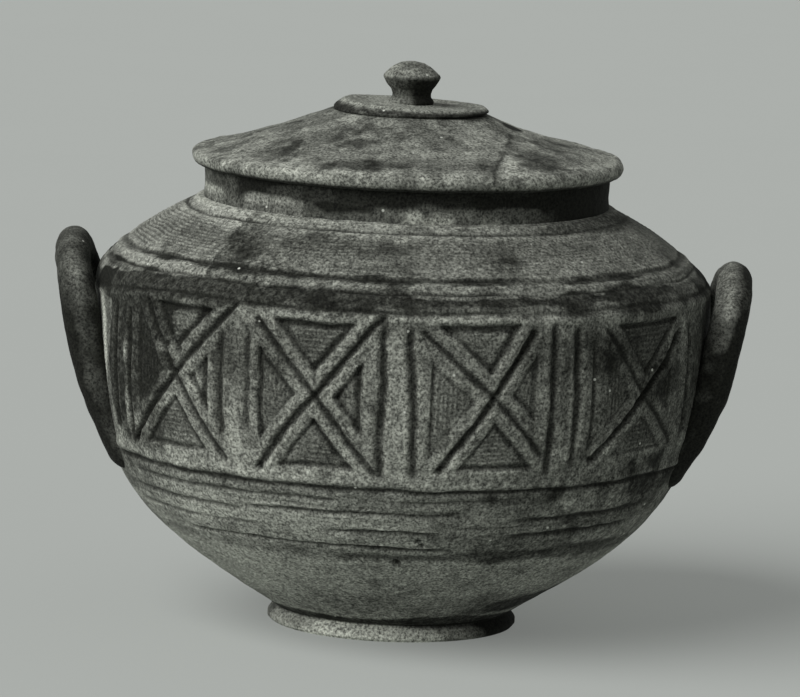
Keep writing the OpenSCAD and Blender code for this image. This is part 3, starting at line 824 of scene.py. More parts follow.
def between(first, last, columns):
    """Azimuths in even steps from one break to another, row by row."""
    return first + (last - first) * np.linspace(0, 1, columns)


def finish_piece(piece, body, node, material):
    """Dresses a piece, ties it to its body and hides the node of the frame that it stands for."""
    piece.data.materials.append(material)
    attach(piece, body)
    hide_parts(node)


def wall_piece(name, node, material, low, high, step, breaks=None, stain=None):
    """A turned piece of the wall between two heights, relief outside and plain inside.
    breaks are the edges of a piece that isn't a full turn, each from radii and distances along the
    outline to azimuths. stain gives smoke that only this piece has, from azimuths and heights."""
    outline = Outline()
    along = rows_between(outline, low, high, step)
    rows = len(along)
    every = np.concatenate([along, np.linspace(along[-1], along[0], INNER_ROWS)])[:, None]
    radius, z = outline.at(every)
    if breaks:
        first, last = (edge(radius, every) for edge in breaks)
        last = last + FULL_TURN * (last < first)
        azimuth = between(first, last, round(float(np.max(last - first)) * COLUMNS_PER_DEGREE))
    else:
        azimuth = whole_turn(every, round(FULL_TURN * COLUMNS_PER_DEGREE))
    relief = wall_relief(outline, azimuth[:rows], np.broadcast_to(every[:rows], azimuth[:rows].shape))
    if stain:
        relief.smoke = relief.smoke + stain(relief.azimuth, relief.z)
    inside = around(radius, azimuth, z)[rows:]
    inner = noise(inside * [1, 1, 3], "inner_skin") - in_mm(settings().wall, "wall")
    shift = np.concatenate([relief.height, inner])
    across, up = outline.normal(every)
    points = around(radius + across * shift, azimuth, z + up * shift)
    blank = np.zeros(inner.shape)
    marks = {key: np.concatenate([getattr(relief, key), blank]) for key in MARKS}
    piece = lathe(name, points, marks, caps=range(len(every)) if breaks else None)
    finish_piece(piece, "jar", node, material)


def make_bowl():
    """The bowl is a piece of the wall with a floor: its section runs from the axis to the axis."""
    outline, wall = Outline(), settings().wall
    low, high, thick = in_mm(wall, "foot_h"), in_mm(wall, "bowl_top"), in_mm(wall, "wall")
    floor = low + in_mm(wall, "floor")
    along = rows_between(outline, low, high, BOWL_STEP)
    azimuth = whole_turn(along, BOWL_COLUMNS)
    relief = wall_relief(outline, azimuth, np.broadcast_to(along[:, None], azimuth.shape))
    radius, z = outline.at(along[:, None])
    across, up = outline.normal(along[:, None])
    shift = relief.height * ease(along[:, None] - along[0], 0, 3)
    outer = around(radius + across * shift, azimuth, z + up * shift)
    under = [around(r, azimuth[0], low) for r in np.linspace(12, radius[0, 0] - 1, FLOOR_ROWS)]
    inner_along = np.linspace(along[-1], along[0], BOWL_INNER_ROWS)
    radius, z = outline.at(inner_along)
    across, up = outline.normal(inner_along)
    inside = [(r, h) for r, h in zip(radius - thick * across, z - thick * up) if h > floor + 1]
    inside += [(r, floor) for r in np.linspace(inside[-1][0] - 4, 10, FLOOR_ROWS)]
    inner = [around(r + INNER_RINGS * math.sin(i), azimuth[0], h) for i, (r, h) in enumerate(inside)]
    points = np.stack([*under, *outer, *inner])
    marks = {key: np.concatenate([np.zeros((len(under), BOWL_COLUMNS)), getattr(relief, key),
                                  np.zeros((len(inner), BOWL_COLUMNS))]) for key in MARKS}
    piece = lathe("bowl_turned", points, marks, poles=((0, 0, low), (0, 0, floor)))
    finish_piece(piece, "jar", "lower_bowl", wall_ware())


def make_belly():
    """The belly wall, which carries the frieze."""
    wall = settings().wall
    wall_piece("belly_frieze", "belly_band", wall_ware(), in_mm(wall, "bowl_top"), in_mm(wall, "belly_top"),
               BELLY_STEP)


# Breaks of the shoulder's sherd: azimuth at the neck, azimuth at the belly, and which draw of the jags
SHOULDER_FRONT = (-46.8, -40.5, 30)
SHOULDER_BACK = (-104.0, -104.0, 33)
# The left and the right break of the neck's sherd: azimuth, and which draw of the jags
NECK_BREAKS = ((-52.0, 53), (-30.0, 50))
# Degrees by which a break strays
BREAK_JAG = 0.9


def jagged(along, draw):
    """The degrees by which a break strays from its line, by distance along it."""
    return BREAK_JAG * noise(along[..., None] * [1, 0, 0], "break_jag", draw)


def shoulder_break(at_neck, at_belly, draw):
    """A break of the shoulder, as azimuths by radius and by distance along the outline."""
    ends = in_mm(settings().wall, "neck_r"), in_mm(settings().wall, "belly_r")

    def azimuths(radius, along):
        return np.interp(radius, ends, (at_neck, at_belly)) + jagged(along, draw)
    return azimuths


def ring_stain(azimuth, z):
    """Smoke on the shoulder beside its mended break, fading away from it."""
    beside = turn_from(azimuth, SHOULDER_FRONT[0])
    return 0.42 * ease(-beside, -34, -4) * ease(beside, -8, 0) * ease(z, 184, 189)


def sherd_stain(azimuth, z):
    """The sherd lay clean, so it is a little bleached down to the dark band."""
    return -0.06 * ease(z, 184, 188) * np.ones(azimuth.shape)


def make_shoulder():
    """The shoulder, and the sherd mended into it between two breaks."""
    wall = settings().wall
    low, high = in_mm(wall, "belly_top"), in_mm(wall, "neck_z")
    front, back = shoulder_break(*SHOULDER_FRONT), shoulder_break(*SHOULDER_BACK)
    wall_piece("shoulder_ring", "shoulder", wall_ware(), low, high, SHOULDER_STEP, (front, back), ring_stain)
    wall_piece("shoulder_mended_sherd", "shoulder_sherd", sherd_ware(), low, high, SHOULDER_STEP,
               (back, front), sherd_stain)


# Materials

def add(tree, kind, inputs=(), **values):
    """Adds a node with its settings; inputs pairs a socket's name or number with a value or a socket."""
    node = tree.nodes.new("ShaderNode" + kind)
    for key, value in values.items():
        setattr(node, key, value)
    for key, value in dict(inputs).items():
        if isinstance(value, bpy.types.NodeSocket):
            tree.links.new(value, node.inputs[key])
        else:
            node.inputs[key].default_value = value
    return node


def rgba(tone, level=1.0):
    """A colour times a level, as a socket takes it."""
    return (*(channel * level for channel in tone), 1.0)


def per_metre(millimetres):
    """Noise scale whose lumps are about this wide."""
    return 1 / (millimetres * MM)


def new_material(name):
    """A material with an empty node tree."""
    material = bpy.data.materials.new(name)
    material.use_nodes = True
    tree = material.node_tree
    tree.nodes.clear()
    return material, tree


# Noises of the ware: width of the lumps in mm, detail, roughness. Sand in coarse ware is 0.5 to 1 mm wide;
# the grain is drawn a little coarser, so that it shows
WARE_NOISES = {"grain": (1.3, 2, 0.7), "speckle": (3.0, 3, 0.6), "mottle": (10, 4, 0.6),
               "cloud": (46, 3, 0.5)}
# Distance between the white grains of sand in the clay, in mm
GRIT_MM = 17
# Sockets of a Mix node that mixes colours: factor, first and second colour, result
FACTOR, FIRST, SECOND, RESULT = 0, 6, 7, 2


def earthenware(name, clay, shade=1.0):
    """Coarse low-fired clay: no shine, sandy grain, soot and painted shade in the hollows and rubbed pale
    edges.
    shade darkens the whole ware; the mesh's smoke channel darkens it by patches, with smoke and painted
    shade, and lightens it below zero, with bleached clay and painted light."""
    if name in bpy.data.materials:
        return bpy.data.materials[name]
    ware = settings().ware
    material, tree = new_material(name)
    place = add(tree, "TexCoord").outputs["Object"]
    noises = {}
    for key, (size, detail, rough) in WARE_NOISES.items():
        node = add(tree, "TexNoise", {"Vector": place, "Scale": per_metre(size), "Detail": detail,
                                      "Roughness": rough})
        noises[key] = node.outputs["Fac"]
    soot, wear, smoke = (add(tree, "Attribute", attribute_name=key).outputs["Fac"] for key in MARKS)
    patchy = add(tree, "MapRange", {"Value": noises["speckle"], "From Min": 0.36, "From Max": 0.62})
    worn = add(tree, "Math", {0: wear, 1: patchy.outputs[0]}, operation="MULTIPLY")
    caught = add(tree, "MapRange", {"Value": noises["speckle"], "From Min": 0.3, "From Max": 0.5,
                                    "To Min": 0.75})
    sooty_and_shaded = add(tree, "Math", {0: soot, 1: caught.outputs[0]}, operation="MULTIPLY")
    # Coats over the dull clay: what lays them on, from which to which value of it, how much they cover at
    # most, colour
    coats = (
        (noises["cloud"], 0.35, 0.65, 1.0, rgba(clay, 1.18 * shade)),
        (noises["mottle"], 0.46, 0.66, 0.45, rgba(ware.soot)),
        # The smoke channel holds painted shade as well as smoke, darkening towards the soot colour; below
        # zero it lightens towards the pale colour, for bleached clay and painted light
        (smoke, 0, 1, 1.0, rgba(ware.soot)),
        (smoke, 0, -1, 1.0, rgba(ware.pale)),
        (worn.outputs[0], 0, 1, 0.6, rgba(ware.pale)),
        (sooty_and_shaded.outputs[0], 0, 1, 0.95, rgba(ware.soot)),
    )
    tone = rgba(clay, 0.82 * shade)
    for value, low, high, cover, coat in coats:
        amount = add(tree, "MapRange", {"Value": value, "From Min": low, "From Max": high, "To Max": cover})
        tone = add(tree, "Mix", {FACTOR: amount.outputs[0], FIRST: tone, SECOND: coat},
                   data_type="RGBA").outputs[RESULT]
    sand = add(tree, "MapRange", {"Value": noises["grain"], "From Min": 0.34, "From Max": 0.66, "To Min": 0.3,
                                  "To Max": 1.7})
    sandy = add(tree, "Mix", {FACTOR: 1.0, FIRST: tone, SECOND: sand.outputs[0]}, data_type="RGBA",
                blend_type="MULTIPLY")
    grit = add(tree, "TexVoronoi", {"Vector": place, "Scale": per_metre(GRIT_MM), "Randomness": 1.0})
    grains = add(tree, "MapRange", {"Value": grit.outputs["Distance"], "From Min": 0.03, "From Max": 0.05,
                                    "To Min": 0.8, "To Max": 0.0})
    gritty = add(tree, "Mix", {FACTOR: grains.outputs[0], FIRST: sandy.outputs[RESULT],
                               SECOND: rgba(ware.grit)}, data_type="RGBA")
    rise = add(tree, "Math", {0: noises["grain"], 1: noises["speckle"]}, operation="ADD")
    bump = add(tree, "Bump", {"Height": rise.outputs[0], "Strength": 0.5, "Distance": 0.5 * MM})
    shader = add(tree, "BsdfPrincipled", {"Base Color": gritty.outputs[RESULT], "Roughness": 0.94,
                                          "IOR": 1.45, "Specular IOR Level": 0.2,
                                          "Normal": bump.outputs["Normal"]})
    add(tree, "OutputMaterial", {"Surface": shader.outputs["BSDF"]})
    return material


def wall_ware():
    """Grey cooking-pot clay, smoked in the kiln, so the wall is uneven and dark in its cuts."""
    return earthenware("Smoked coarse earthenware", settings().ware.body)


def sherd_ware():
    """The same clay where a sherd lay apart and stayed clean, so it is paler."""
    return earthenware("Pale coarse earthenware", settings().ware.sherd)


def neck_ware():
    """The same clay, darker all over, for the neck under the lid's edge: painted shade."""
    return earthenware("Hand-darkened coarse earthenware", settings().ware.body, 0.8)


def handle_ware():
    """Pulled clay, a quarter darker than the wall all over."""
    return earthenware("Pulled coarse earthenware", settings().ware.body, 0.75)


def lid_ware():
    """The lid's clay, smoked in soft patches."""
    return earthenware("Smoked lid earthenware", settings().ware.body)


# Turned pieces away from the wall

# Columns of the full turn of each piece, and of the lid's sherd
FOOT_COLUMNS = 480
NECK_COLUMNS_PER_DEGREE = 2
LID_COLUMNS = 700
LID_SHERD_COLUMNS = 180
RING_COLUMNS = 360
BOSS_COLUMNS = 360
KNOB_COLUMNS = 200
# Heights and radii this close are the same, in mm
SAME = 1e-6


def resampled(section, step):
    """Points along a chain of corners, close together, with every corner kept."""
    section = np.asarray(section, float)
    out = []
    for p, q in zip(section[:-1], section[1:]):
        count = max(1, round(float(np.hypot(*(q - p))) / step))
        out += [p + (q - p) * i / count for i in range(count)]
    return np.array(out + [section[-1]])


def section_normals(section, loop):
    """Direction across a section at each of its points, to the right of travel."""
    if loop:
        ahead, behind = np.roll(section, -1, 0), np.roll(section, 1, 0)
    else:
        ahead = np.vstack([section[1:], section[-1:]])
        behind = np.vstack([section[:1], section[:-1]])
    d = ahead - behind
    d = d / np.maximum(np.hypot(d[:, 0], d[:, 1]), 1e-9)[:, None]
    return np.stack([d[:, 1], -d[:, 0]], -1)


def turned(name, section, azimuths, roughness, pole_heights=(), shape=None, marks=None, caps=None,
           crease=40):
    """A hand-turned piece from a section travelled with its outside on the right, in mm.
    With pole_heights, the section is open and runs to the axis at both ends; without, it is a loop.
    roughness is the height of its lumps. shape moves the points further, and marks gives soot and painted
    shade, wear, and smoke and painted shading of the piece's own. caps are the rows that close the ends of a
    piece that isn't a full turn."""
    normals = section_normals(section, not pole_heights)
    base = around(section[:, :1], azimuths, section[:, 1:])
    lift = roughness * noise(base, "turned_skin")
    points = around(section[:, :1] + normals[:, :1] * lift, azimuths,
                    section[:, 1:] + normals[:, 1:] * lift)
    if shape:
        shape(points)
    values = {"soot": 0.4 * ease(noise(base, "turned_dirt"), 0.1, 0.8),
              "wear": ease(lift, 0.15 * roughness, 0.7 * roughness), "smoke": np.zeros(lift.shape)}
    if marks:
        values.update(marks(base))
    values["wear"] = values["wear"] * (1 - np.clip(values["smoke"], 0, 1))
    poles = [(0, 0, z) for z in pole_heights]
    return lathe(name, points, values, poles, caps, crease)


def clouded(table):
    """The marks of a turned piece with clouds of smoke and painted shading from a table."""
    def marks(base):
        return {"smoke": clouds_round(base, azimuth_of(base), base[..., 2], table)}
    return marks


def level_kept(section, *levels):
    """A shape that keeps the rows of a section that rest on a neighbour flat on its level."""
    def shape(points):
        for level in levels:
            points[np.abs(section[:, 1] - level) < SAME, :, 2] = level
    return shape


def make_foot():
    """The foot ring, rounded below and drawn in under the bowl."""
    wall = settings().wall
    outer, bore, top = in_mm(wall, "foot_r"), in_mm(wall, "foot_bore"), in_mm(wall, "foot_h")
    drawn = outer - in_mm(wall, "foot_draw")
    corners = [(bore, top), (bore, 0.8), (bore + 0.8, 0), (outer - 1.2, 0), (outer, 1.2),
               (outer, 3.2), (drawn + 0.6, 6.4), (drawn - 0.4, 7.4), (drawn, top)]
    section = resampled(corners, step=0.9)
    piece = turned("foot_ring_turned", section, whole_turn(section, FOOT_COLUMNS), roughness=0.45,
                   shape=level_kept(section, 0, top), marks=clouded(FOOT_SMOKE_AND_PAINTED_SHADING))
    finish_piece(piece, "jar", "foot_ring", wall_ware())


def make_neck():
    """The neck, a little hollow outside, and the sherd mended into it between two breaks."""
    wall = settings().wall
    outer, low, high = in_mm(wall, "neck_r"), in_mm(wall, "neck_z"), in_mm(wall, "seat_z")
    bore = outer - in_mm(wall, "neck_wall")
    third = (high - low) / 3
    corners = [(bore, high), (bore, low), (outer, low), (outer - 0.5, low + third),
               (outer - 0.4, low + 2 * third), (outer, high)]
    seat = resampled([corners[-1], corners[0]], step=1.6)[1:-1]
    section = np.vstack([resampled(corners, step=0.8), seat])
    left, right = (azimuth + jagged(section[:, 1:], draw) for azimuth, draw in NECK_BREAKS)
    for name, node, material, first, last in (
            ("neck_turned", "neck_collar", neck_ware(), right, left + FULL_TURN),
            ("neck_mended_sherd", "neck_sherd", sherd_ware(), left, right)):
        columns = round(float(np.max(last - first)) * NECK_COLUMNS_PER_DEGREE)
        piece = turned(name, section, between(first, last, columns), roughness=0.5,
                       shape=level_kept(section, low, high), marks=clouded(NECK_SMOKE_AND_PAINTED_SHADING),
                       caps=range(len(section)))
        finish_piece(piece, "jar", node, material)


# Handles

# The bar: points round it, points along each rounded end, and its reach outward and sideways as shares of
# its radius
BAR_SIDES = 48
BAR_END_ROWS = 7
BAR_OVAL = (0.98, 1.02)
# Step along the bar, and how deep the roots are sunk below the wall's face at least, in mm
BAR_STEP = 1.2
ROOT_DEPTH = 3.2
# The handles: name, node, side, which draw of the lumps, and how dark the crown, the legs, the outer side
# # and the inner side are. The sides' darkness is partly painted shade: the side turned from the key light is
# darkest
HANDLES = (
    ("handle_left_pulled", "handle_left", -1, 80, (0.0, 0.65, 0.55, 0.6)),
    ("handle_right_pulled", "handle_right", 1, 84, (-0.1, 0.9, 1.4, 0.1)),
)


def handle_line(crown_z):
    """Middle line of a handle on the +X side, from one root over the crown to the other, in mm."""
    handle, outline = settings().handle, Outline()
    loop_r, lean = in_mm(handle, "loop_r"), handle.lean
    crown_x = in_mm(settings().wall, "belly_r") + in_mm(handle, "loop_out")
    tilt = np.array([math.sin(lean), math.cos(lean)])
    top = np.array([crown_x, crown_z]) - loop_r * tilt
    root_z = in_mm(handle, "root_z")
    root_d = float(outline.radius_at(root_z)) - in_mm(handle, "root_sink")
    root = np.array([math.sqrt(root_d ** 2 - loop_r ** 2), root_z])
    chord = np.hypot(*(top - root))
    root_lean = 2 * math.atan2(top[0] - root[0], top[1] - root[1]) - lean
    bow = chord / (2 * math.sin((root_lean - lean) / 2))
    centre = top + bow * np.array([-math.cos(lean), math.sin(lean)])
    angle = np.linspace(root_lean, lean, round(chord / BAR_STEP), endpoint=False)
    leg = np.stack([centre[0] + bow * np.cos(angle), np.full(len(angle), loop_r),
                    centre[1] - bow * np.sin(angle)], -1)
    angle = np.linspace(0, math.pi, round(math.pi * loop_r / BAR_STEP))
    rise = loop_r * np.sin(angle)
    crown = np.stack([top[0] + rise * tilt[0], loop_r * np.cos(angle), top[1] + rise * tilt[1]], -1)
    return np.vstack([leg, crown, leg[::-1] * [1, -1, 1]])


def handle_bar(crown_z):
    """A handle's bar with rounded ends: its middle line, its radius there, the direction to its outer
    side, and the directions all round it."""
    handle, line = settings().handle, handle_line(crown_z)
    crown_r, leg_r = in_mm(handle, "bar_r"), in_mm(handle, "leg_r")
    bar = crown_r + (leg_r - crown_r) * ease(crown_z - line[:, 2], 6, 46)
    ahead = np.gradient(line, axis=0)
    ahead /= np.linalg.norm(ahead, axis=1)[:, None]
    cap = np.radians(np.linspace(12, 90, BAR_END_ROWS, endpoint=False))
    first = [line[0] - ahead[0] * leg_r * math.cos(a) for a in cap]
    last = [line[-1] + ahead[-1] * leg_r * math.cos(a) for a in cap[::-1]]
    centres = np.vstack([first, line, last])
    bar = np.concatenate([leg_r * np.sin(cap), bar, leg_r * np.sin(cap[::-1])])
    ahead = np.vstack([ahead[:1]] * BAR_END_ROWS + [ahead] + [ahead[-1:]] * BAR_END_ROWS)
    out = np.array([1.0, 0, 0]) - ahead * ahead[:, :1]
    out /= np.linalg.norm(out, axis=1)[:, None]
    beside = np.cross(ahead, out)
    angle = np.linspace(0, 2 * math.pi, BAR_SIDES, endpoint=False)[None, :, None]
    outward, sideways = BAR_OVAL
    spoke = outward * np.cos(angle) * out[:, None] + sideways * np.sin(angle) * beside[:, None]
    return centres[:, None], bar[:, None, None], out[:, None], spoke


def make_handle(name, node, side, draw, smoke):
    """A pulled handle: a bar smeared out where it meets the wall and sunk into it at its roots."""
    handle, outline = settings().handle, Outline()
    crown_z = highest(node) / MM - in_mm(handle, "bar_r")
    centres, bar, out, spoke = handle_bar(crown_z)
    plain = centres + spoke * bar
    uneven = noise(plain, "handle_skin", draw)
    points = plain + spoke * uneven[..., None]
    gap = from_axis(points) - outline.radius_at(points[..., 2])
    radial = points * [1, 1, 0] / from_axis(points)[..., None]
    sideways = spoke - radial * np.sum(spoke * radial, -1)[..., None]
    points = points + sideways * (in_mm(handle, "flare") * bell(np.maximum(gap, 0), 4.0))[..., None]
    sunk = outline.radius_at(points[..., 2]) - ROOT_DEPTH
    points[..., :2] *= np.maximum(sunk / from_axis(points), 1.0)[..., None]
    points[..., 0] *= side
    crown_smoke, leg_smoke, outer_smoke_and_shade, inner_smoke_and_shade = smoke
    outward = np.sum(spoke * out, -1)
    dark = crown_smoke + (leg_smoke - crown_smoke) * ease(crown_z - points[..., 2], 8, 36)
    # The side turned from the key light is darkened more: painted shade
    dark += outer_smoke_and_shade * ease(outward, -0.05, 0.85) + inner_smoke_and_shade * ease(-outward, 0.1, 0.9)
    dark += noise(points, "handle_smoke", draw)
    # Darker in the low lumps and where the bar comes close to the wall: dirt, and painted shade in the corner
    soot = 0.5 * ease(-uneven, 0.05, 0.5) + 0.5 * bell(np.maximum(gap - 1, 0), 2.5)
    wear = 0.7 * ease(uneven, 0.1, 0.6) * (1 - 0.7 * np.clip(dark, 0, 1))
    marks = {"soot": np.clip(soot, 0, 1), "wear": wear, "smoke": dark}
    piece = lathe(name, points, marks, poles=(points[0].mean(0), points[-1].mean(0)))
    finish_piece(piece, "jar", node, handle_ware())


# The lid

# The two breaks of the lid's sherd meet at this azimuth, this far outside the boss in mm
LID_BREAK_TOP = 79.0
LID_BREAK_CLEAR = 13.5
# Azimuth of each break at the rim, and which draw of the jags
LID_BREAK_FRONT = (23.0, 74)
LID_BREAK_BACK = (106.0, 71)
# Distance between the turning rings on the lid, in mm
LID_RING_STEP = 7.5
# Points along the lid's cone, how many of them go by for one of the inner face, points round the lip and
# under it, and radii of the points on the flat top, in mm
CONE_ROWS = 90
CONE_TO_INNER = 6
LIP_ROWS = 16
UNDER_ROWS = 5
TOP_RADII = (28, 18, 8)


def lid_section(break_r):
    """Section of the lid from the axis out along its inner face, over the seat, round the lip and up the
    cone back to the axis, with points where the breaks meet."""
    lid, seat = settings().lid, in_mm(settings().wall, "seat_z")
    lip, top = in_mm(lid, "lip_r"), in_mm(lid, "top_z")
    lip_r = in_mm(lid, "lid_r") - lip
    ring_in = in_mm(lid, "flange_r") - in_mm(lid, "flange_w")
    start = np.array([lip_r, seat + 2 * lip])
    middle = np.array([in_mm(lid, "mid_r"), seat + in_mm(lid, "mid_rise")])
    end = np.array([in_mm(lid, "boss_r") + 0.5, top])
    t = np.linspace(0, 1, CONE_ROWS)[1:, None]
    cone = (1 - t) ** 2 * start + 2 * t * (1 - t) * middle + t ** 2 * end
    cone[np.argmin(np.abs(cone[:, 0] - break_r)), 0] = break_r
    inner = cone - in_mm(lid, "wall") * section_normals(cone, False)
    inner = inner[inner[:, 0] < ring_in - 3][::CONE_TO_INNER]
    inner[np.argmin(np.abs(inner[:, 0] - break_r)), 0] = break_r
    ceiling = [(r, inner[-1, 1]) for r in TOP_RADII[::-1] if r < inner[-1, 0] - 2]
    under = [(ring_in, inner[0, 1]), (ring_in, seat)]
    under += [(r, seat) for r in np.linspace(ring_in + 3, lip_r, UNDER_ROWS)]
    angle = np.radians(np.linspace(-80, 88, LIP_ROWS))
    lip_arc = np.stack([lip_r + lip * np.cos(angle), seat + lip + lip * np.sin(angle)], -1)
    flat = [(r, top) for r in TOP_RADII]
    return np.vstack([ceiling, inner[::-1], under, lip_arc, cone, flat])


def lid_shape(points):
    """The lid sags a little on its right, most of all under the sherd, and its lip waves."""
    lid, seat = settings().lid, in_mm(settings().wall, "seat_z")
    radius = from_axis(points)
    right = ease(points[..., 0], -10, 60)
    above = ease(points[..., 2], seat + 4, seat + 10)
    points[..., 2] += above * right * (0.8 * bell(radius - 90, 8) - 1.4 * bell(radius - 52, 16))
    points[..., 2] -= above * ease(-points[..., 0], 30, 90) * bell(radius - 104, 14)
    lip = bell(radius - in_mm(lid, "lid_r"), 9) * above
    points[..., 2] += lip * noise(points * [1, 1, 0], "lip_wave")


def lid_marks(base):
    """Old smoke in patches, a pale rubbed lip, painted shade under it, and a crack filled with dirt."""
    lid, seat = settings().lid, in_mm(settings().wall, "seat_z")
    x, y, z = np.moveaxis(base, -1, 0)
    radius = from_axis(base)
    outside = ease(z, seat + 3, seat + 6)
    edge = ragged(base)
    smoke = sum(cloud(edge, (x - middle) / half_x, (y - away) / half_y, strength)
                for middle, away, half_x, half_y, strength in LID_SMOKE_AND_PAINTED_SHADING)
    smoke += 0.36 * ease(noise(base, "lid_smoke"), 0.05, 0.7)
    smoke -= 0.3 * ease(noise(base, "lid_bleach"), 0.1, 0.8) + 0.14 * ease(radius, 96, 104)
    # The lip's underside is darkened: painted shade
    smoke = smoke * outside + 0.85 * ease(-z, -seat - 2.4, -seat - 1.0)
    crack = x - np.interp(y, CRACK_Y, CRACK_X) + noise(base, "crack_stray")
    near_end, far_end = CRACK_Y[0], CRACK_Y[-1]
    cracked = outside * ease(y, near_end, near_end + 8) * ease(-y, -far_end - 2, -far_end + 6)
    dirt = bell(crack, 1.5) * cracked * ease(noise(base, "crack_dirt"), -0.9, 0.1)
    smoke -= 0.22 * bell(crack - 7, 5) * cracked
    rubbed = bell(radius - in_mm(lid, "lid_r") + 4, 6) * ease(noise(base, "lip_wear"), -0.6, 0.4)
    rings = ease(np.sin(radius * 2 * math.pi / LID_RING_STEP + noise(base, "ring_stray")), 0.5, 1.0)
    return {"soot": np.maximum(0.9 * dirt, 0.16 * rings), "smoke": smoke,
            "wear": np.clip(0.7 * rubbed + 0.3, 0, 1) * (1 - np.clip(1.5 * smoke, 0, 1))}


def lid_break(radius, break_r, at_rim, draw):
    """Azimuths of a break of the lid at each radius. Inside break_r the lid is whole."""
    straight = np.interp(radius, (break_r, in_mm(settings().lid, "lid_r")), (LID_BREAK_TOP, at_rim))
    return straight + 0.8 * jagged(radius, draw) * ease(radius, break_r, break_r + 6)


def make_lid():
    """The lid, and the sherd mended into it between two breaks."""
    break_r = in_mm(settings().lid, "boss_r") + LID_BREAK_CLEAR
    section = lid_section(break_r)
    cut = section[:, 0] >= break_r - SAME
    front, back = (lid_break(section[:, :1], break_r, *edge) for edge in (LID_BREAK_FRONT, LID_BREAK_BACK))
    azimuths = between(back, front + FULL_TURN, LID_COLUMNS)
    piece = turned("lid_turned", section, azimuths, roughness=0.6,
                   pole_heights=(section[0, 1], section[-1, 1]), shape=lid_shape, marks=lid_marks,
                   caps=np.flatnonzero(cut))
    finish_piece(piece, "lid", "lid_cone", lid_ware())
    azimuths = between(front[cut], back[cut], LID_SHERD_COLUMNS)
    piece = turned("lid_mended_sherd", section[cut], azimuths, roughness=0.6, shape=lid_shape,
                   marks=lid_marks, caps=range(len(azimuths)))
    finish_piece(piece, "lid", "lid_sherd", lid_ware())


def make_locating_ring():
    """The ring under the lid, flat where it meets the lid."""
    lid, seat = settings().lid, in_mm(settings().wall, "seat_z")
    outer, low = in_mm(lid, "flange_r"), seat - in_mm(lid, "flange_h")
    bore = outer - in_mm(lid, "flange_w")
    corners = [(bore, seat), (bore, low + 1.5), (bore + 1.5, low), (outer - 1.5, low), (outer, low + 1.5),
               (outer, seat)]
    section = resampled(corners, step=1.2)
    piece = turned("lid_locating_ring", section, whole_turn(section, RING_COLUMNS), roughness=0.4,
                   shape=level_kept(section, seat))
    finish_piece(piece, "lid", "lid_flange", lid_ware())


# Tilt of the boss's face in degrees, and how far the boss's face and the knob stand to the right, in mm
BOSS_TILT = 2.3
BOSS_SHIFT = 2.6
KNOB_SHIFT = 0.6
# Height of the knob's cap over its widest ring, and how deep its foot is let into the boss, in mm
KNOB_CAP = 7.7
KNOB_SUNK = 1.2


def share_up(points, low, high):
    """How far up each point lies between two heights, from 0 to 1."""
    return np.clip((points[..., 2] - low) / (high - low), 0, 1)


def boss_shape(points):
    """The boss disc's face lies a little to the right and leans down to that side, and is dished."""
    lid = settings().lid
    reach = in_mm(lid, "boss_r")
    up = share_up(points, in_mm(lid, "top_z"), in_mm(lid, "boss_z"))
    radius = from_axis(points)
    points[..., 2] -= up * math.tan(math.radians(BOSS_TILT)) * points[..., 0]
    points[..., 2] -= up * 1.1 * ease(reach - radius, 4, 12) * ease(radius, 8, 18)
    points[..., 2] -= up * 0.9 * ease(points[..., 1], 5, reach)
    points[..., 0] += BOSS_SHIFT * up * ease(radius, 14, 30)


def boss_marks(base):
    """Painted shade in the corner below the disc's edge, most of all at its two sides, as soot and smoke, and
    painted light that makes its face paler.
    """
    below = ease(in_mm(settings().lid, "boss_z") - base[..., 2], 0.8, 2.2)
    sides = ease(azimuth_of(base), 10, 60) + ease(-azimuth_of(base), 35, 75)
    smoke = below * (0.35 + 0.6 * sides) + 0.25 * ease(noise(base, "boss_smoke"), 0.2, 0.9)
    smoke -= 0.2 * (1 - below)
    return {"smoke": smoke, "soot": 0.9 * below * ease(noise(base * [1, 1, 4], "boss_dirt"), -0.8, 0.2)}


def make_boss():
    """The disc on top of the lid, on which the knob stands."""
    lid = settings().lid
    low, high, reach = in_mm(lid, "top_z"), in_mm(lid, "boss_z"), in_mm(lid, "boss_r")
    top_r = reach - in_mm(lid, "boss_draw")
    corners = [(6, low), (reach - 0.8, low), (reach, low + 0.5), (reach + 0.4, low + 1.4),
               (reach, low + 2.2), (top_r + 0.4, high - 0.7), (top_r - 0.7, high), (10, high), (4, high)]
    section = resampled(corners, step=0.8)
    piece = turned("lid_boss_disc", section, whole_turn(section, BOSS_COLUMNS), roughness=0.5,
                   pole_heights=(low, high), shape=boss_shape, marks=boss_marks)
    finish_piece(piece, "lid", "lid_boss", lid_ware())


def knob_shape(points):
    """The knob stands a little to the right, and its cap is pinched a little out of round."""
    lid = settings().lid
    up = share_up(points, in_mm(lid, "boss_z"), in_mm(lid, "knob_z"))
    points[..., :2] *= (1 + 0.03 * up * np.cos(np.radians(azimuth_of(points)) * 5))[..., None]
    points[..., 0] += KNOB_SHIFT


def knob_marks(base):
    """Painted shade under the cap, most of all on its right, away from the key light, less at its foot on the
    left, and painted light that makes its top paler.
    """
    lid = settings().lid
    below = ease(in_mm(lid, "knob_z") - KNOB_CAP - base[..., 2], -1.5, 2.5)
    right = ease(azimuth_of(base), -25, 25)
    foot = bell(base[..., 2] - in_mm(lid, "boss_z"), 2.2)
    smoke = below * (0.35 + 0.8 * right) * (1 - foot * (1 - right)) - 0.15 * (1 - below)
    return {"smoke": smoke + 0.2 * ease(noise(base, "knob_smoke"), 0.1, 0.8)}


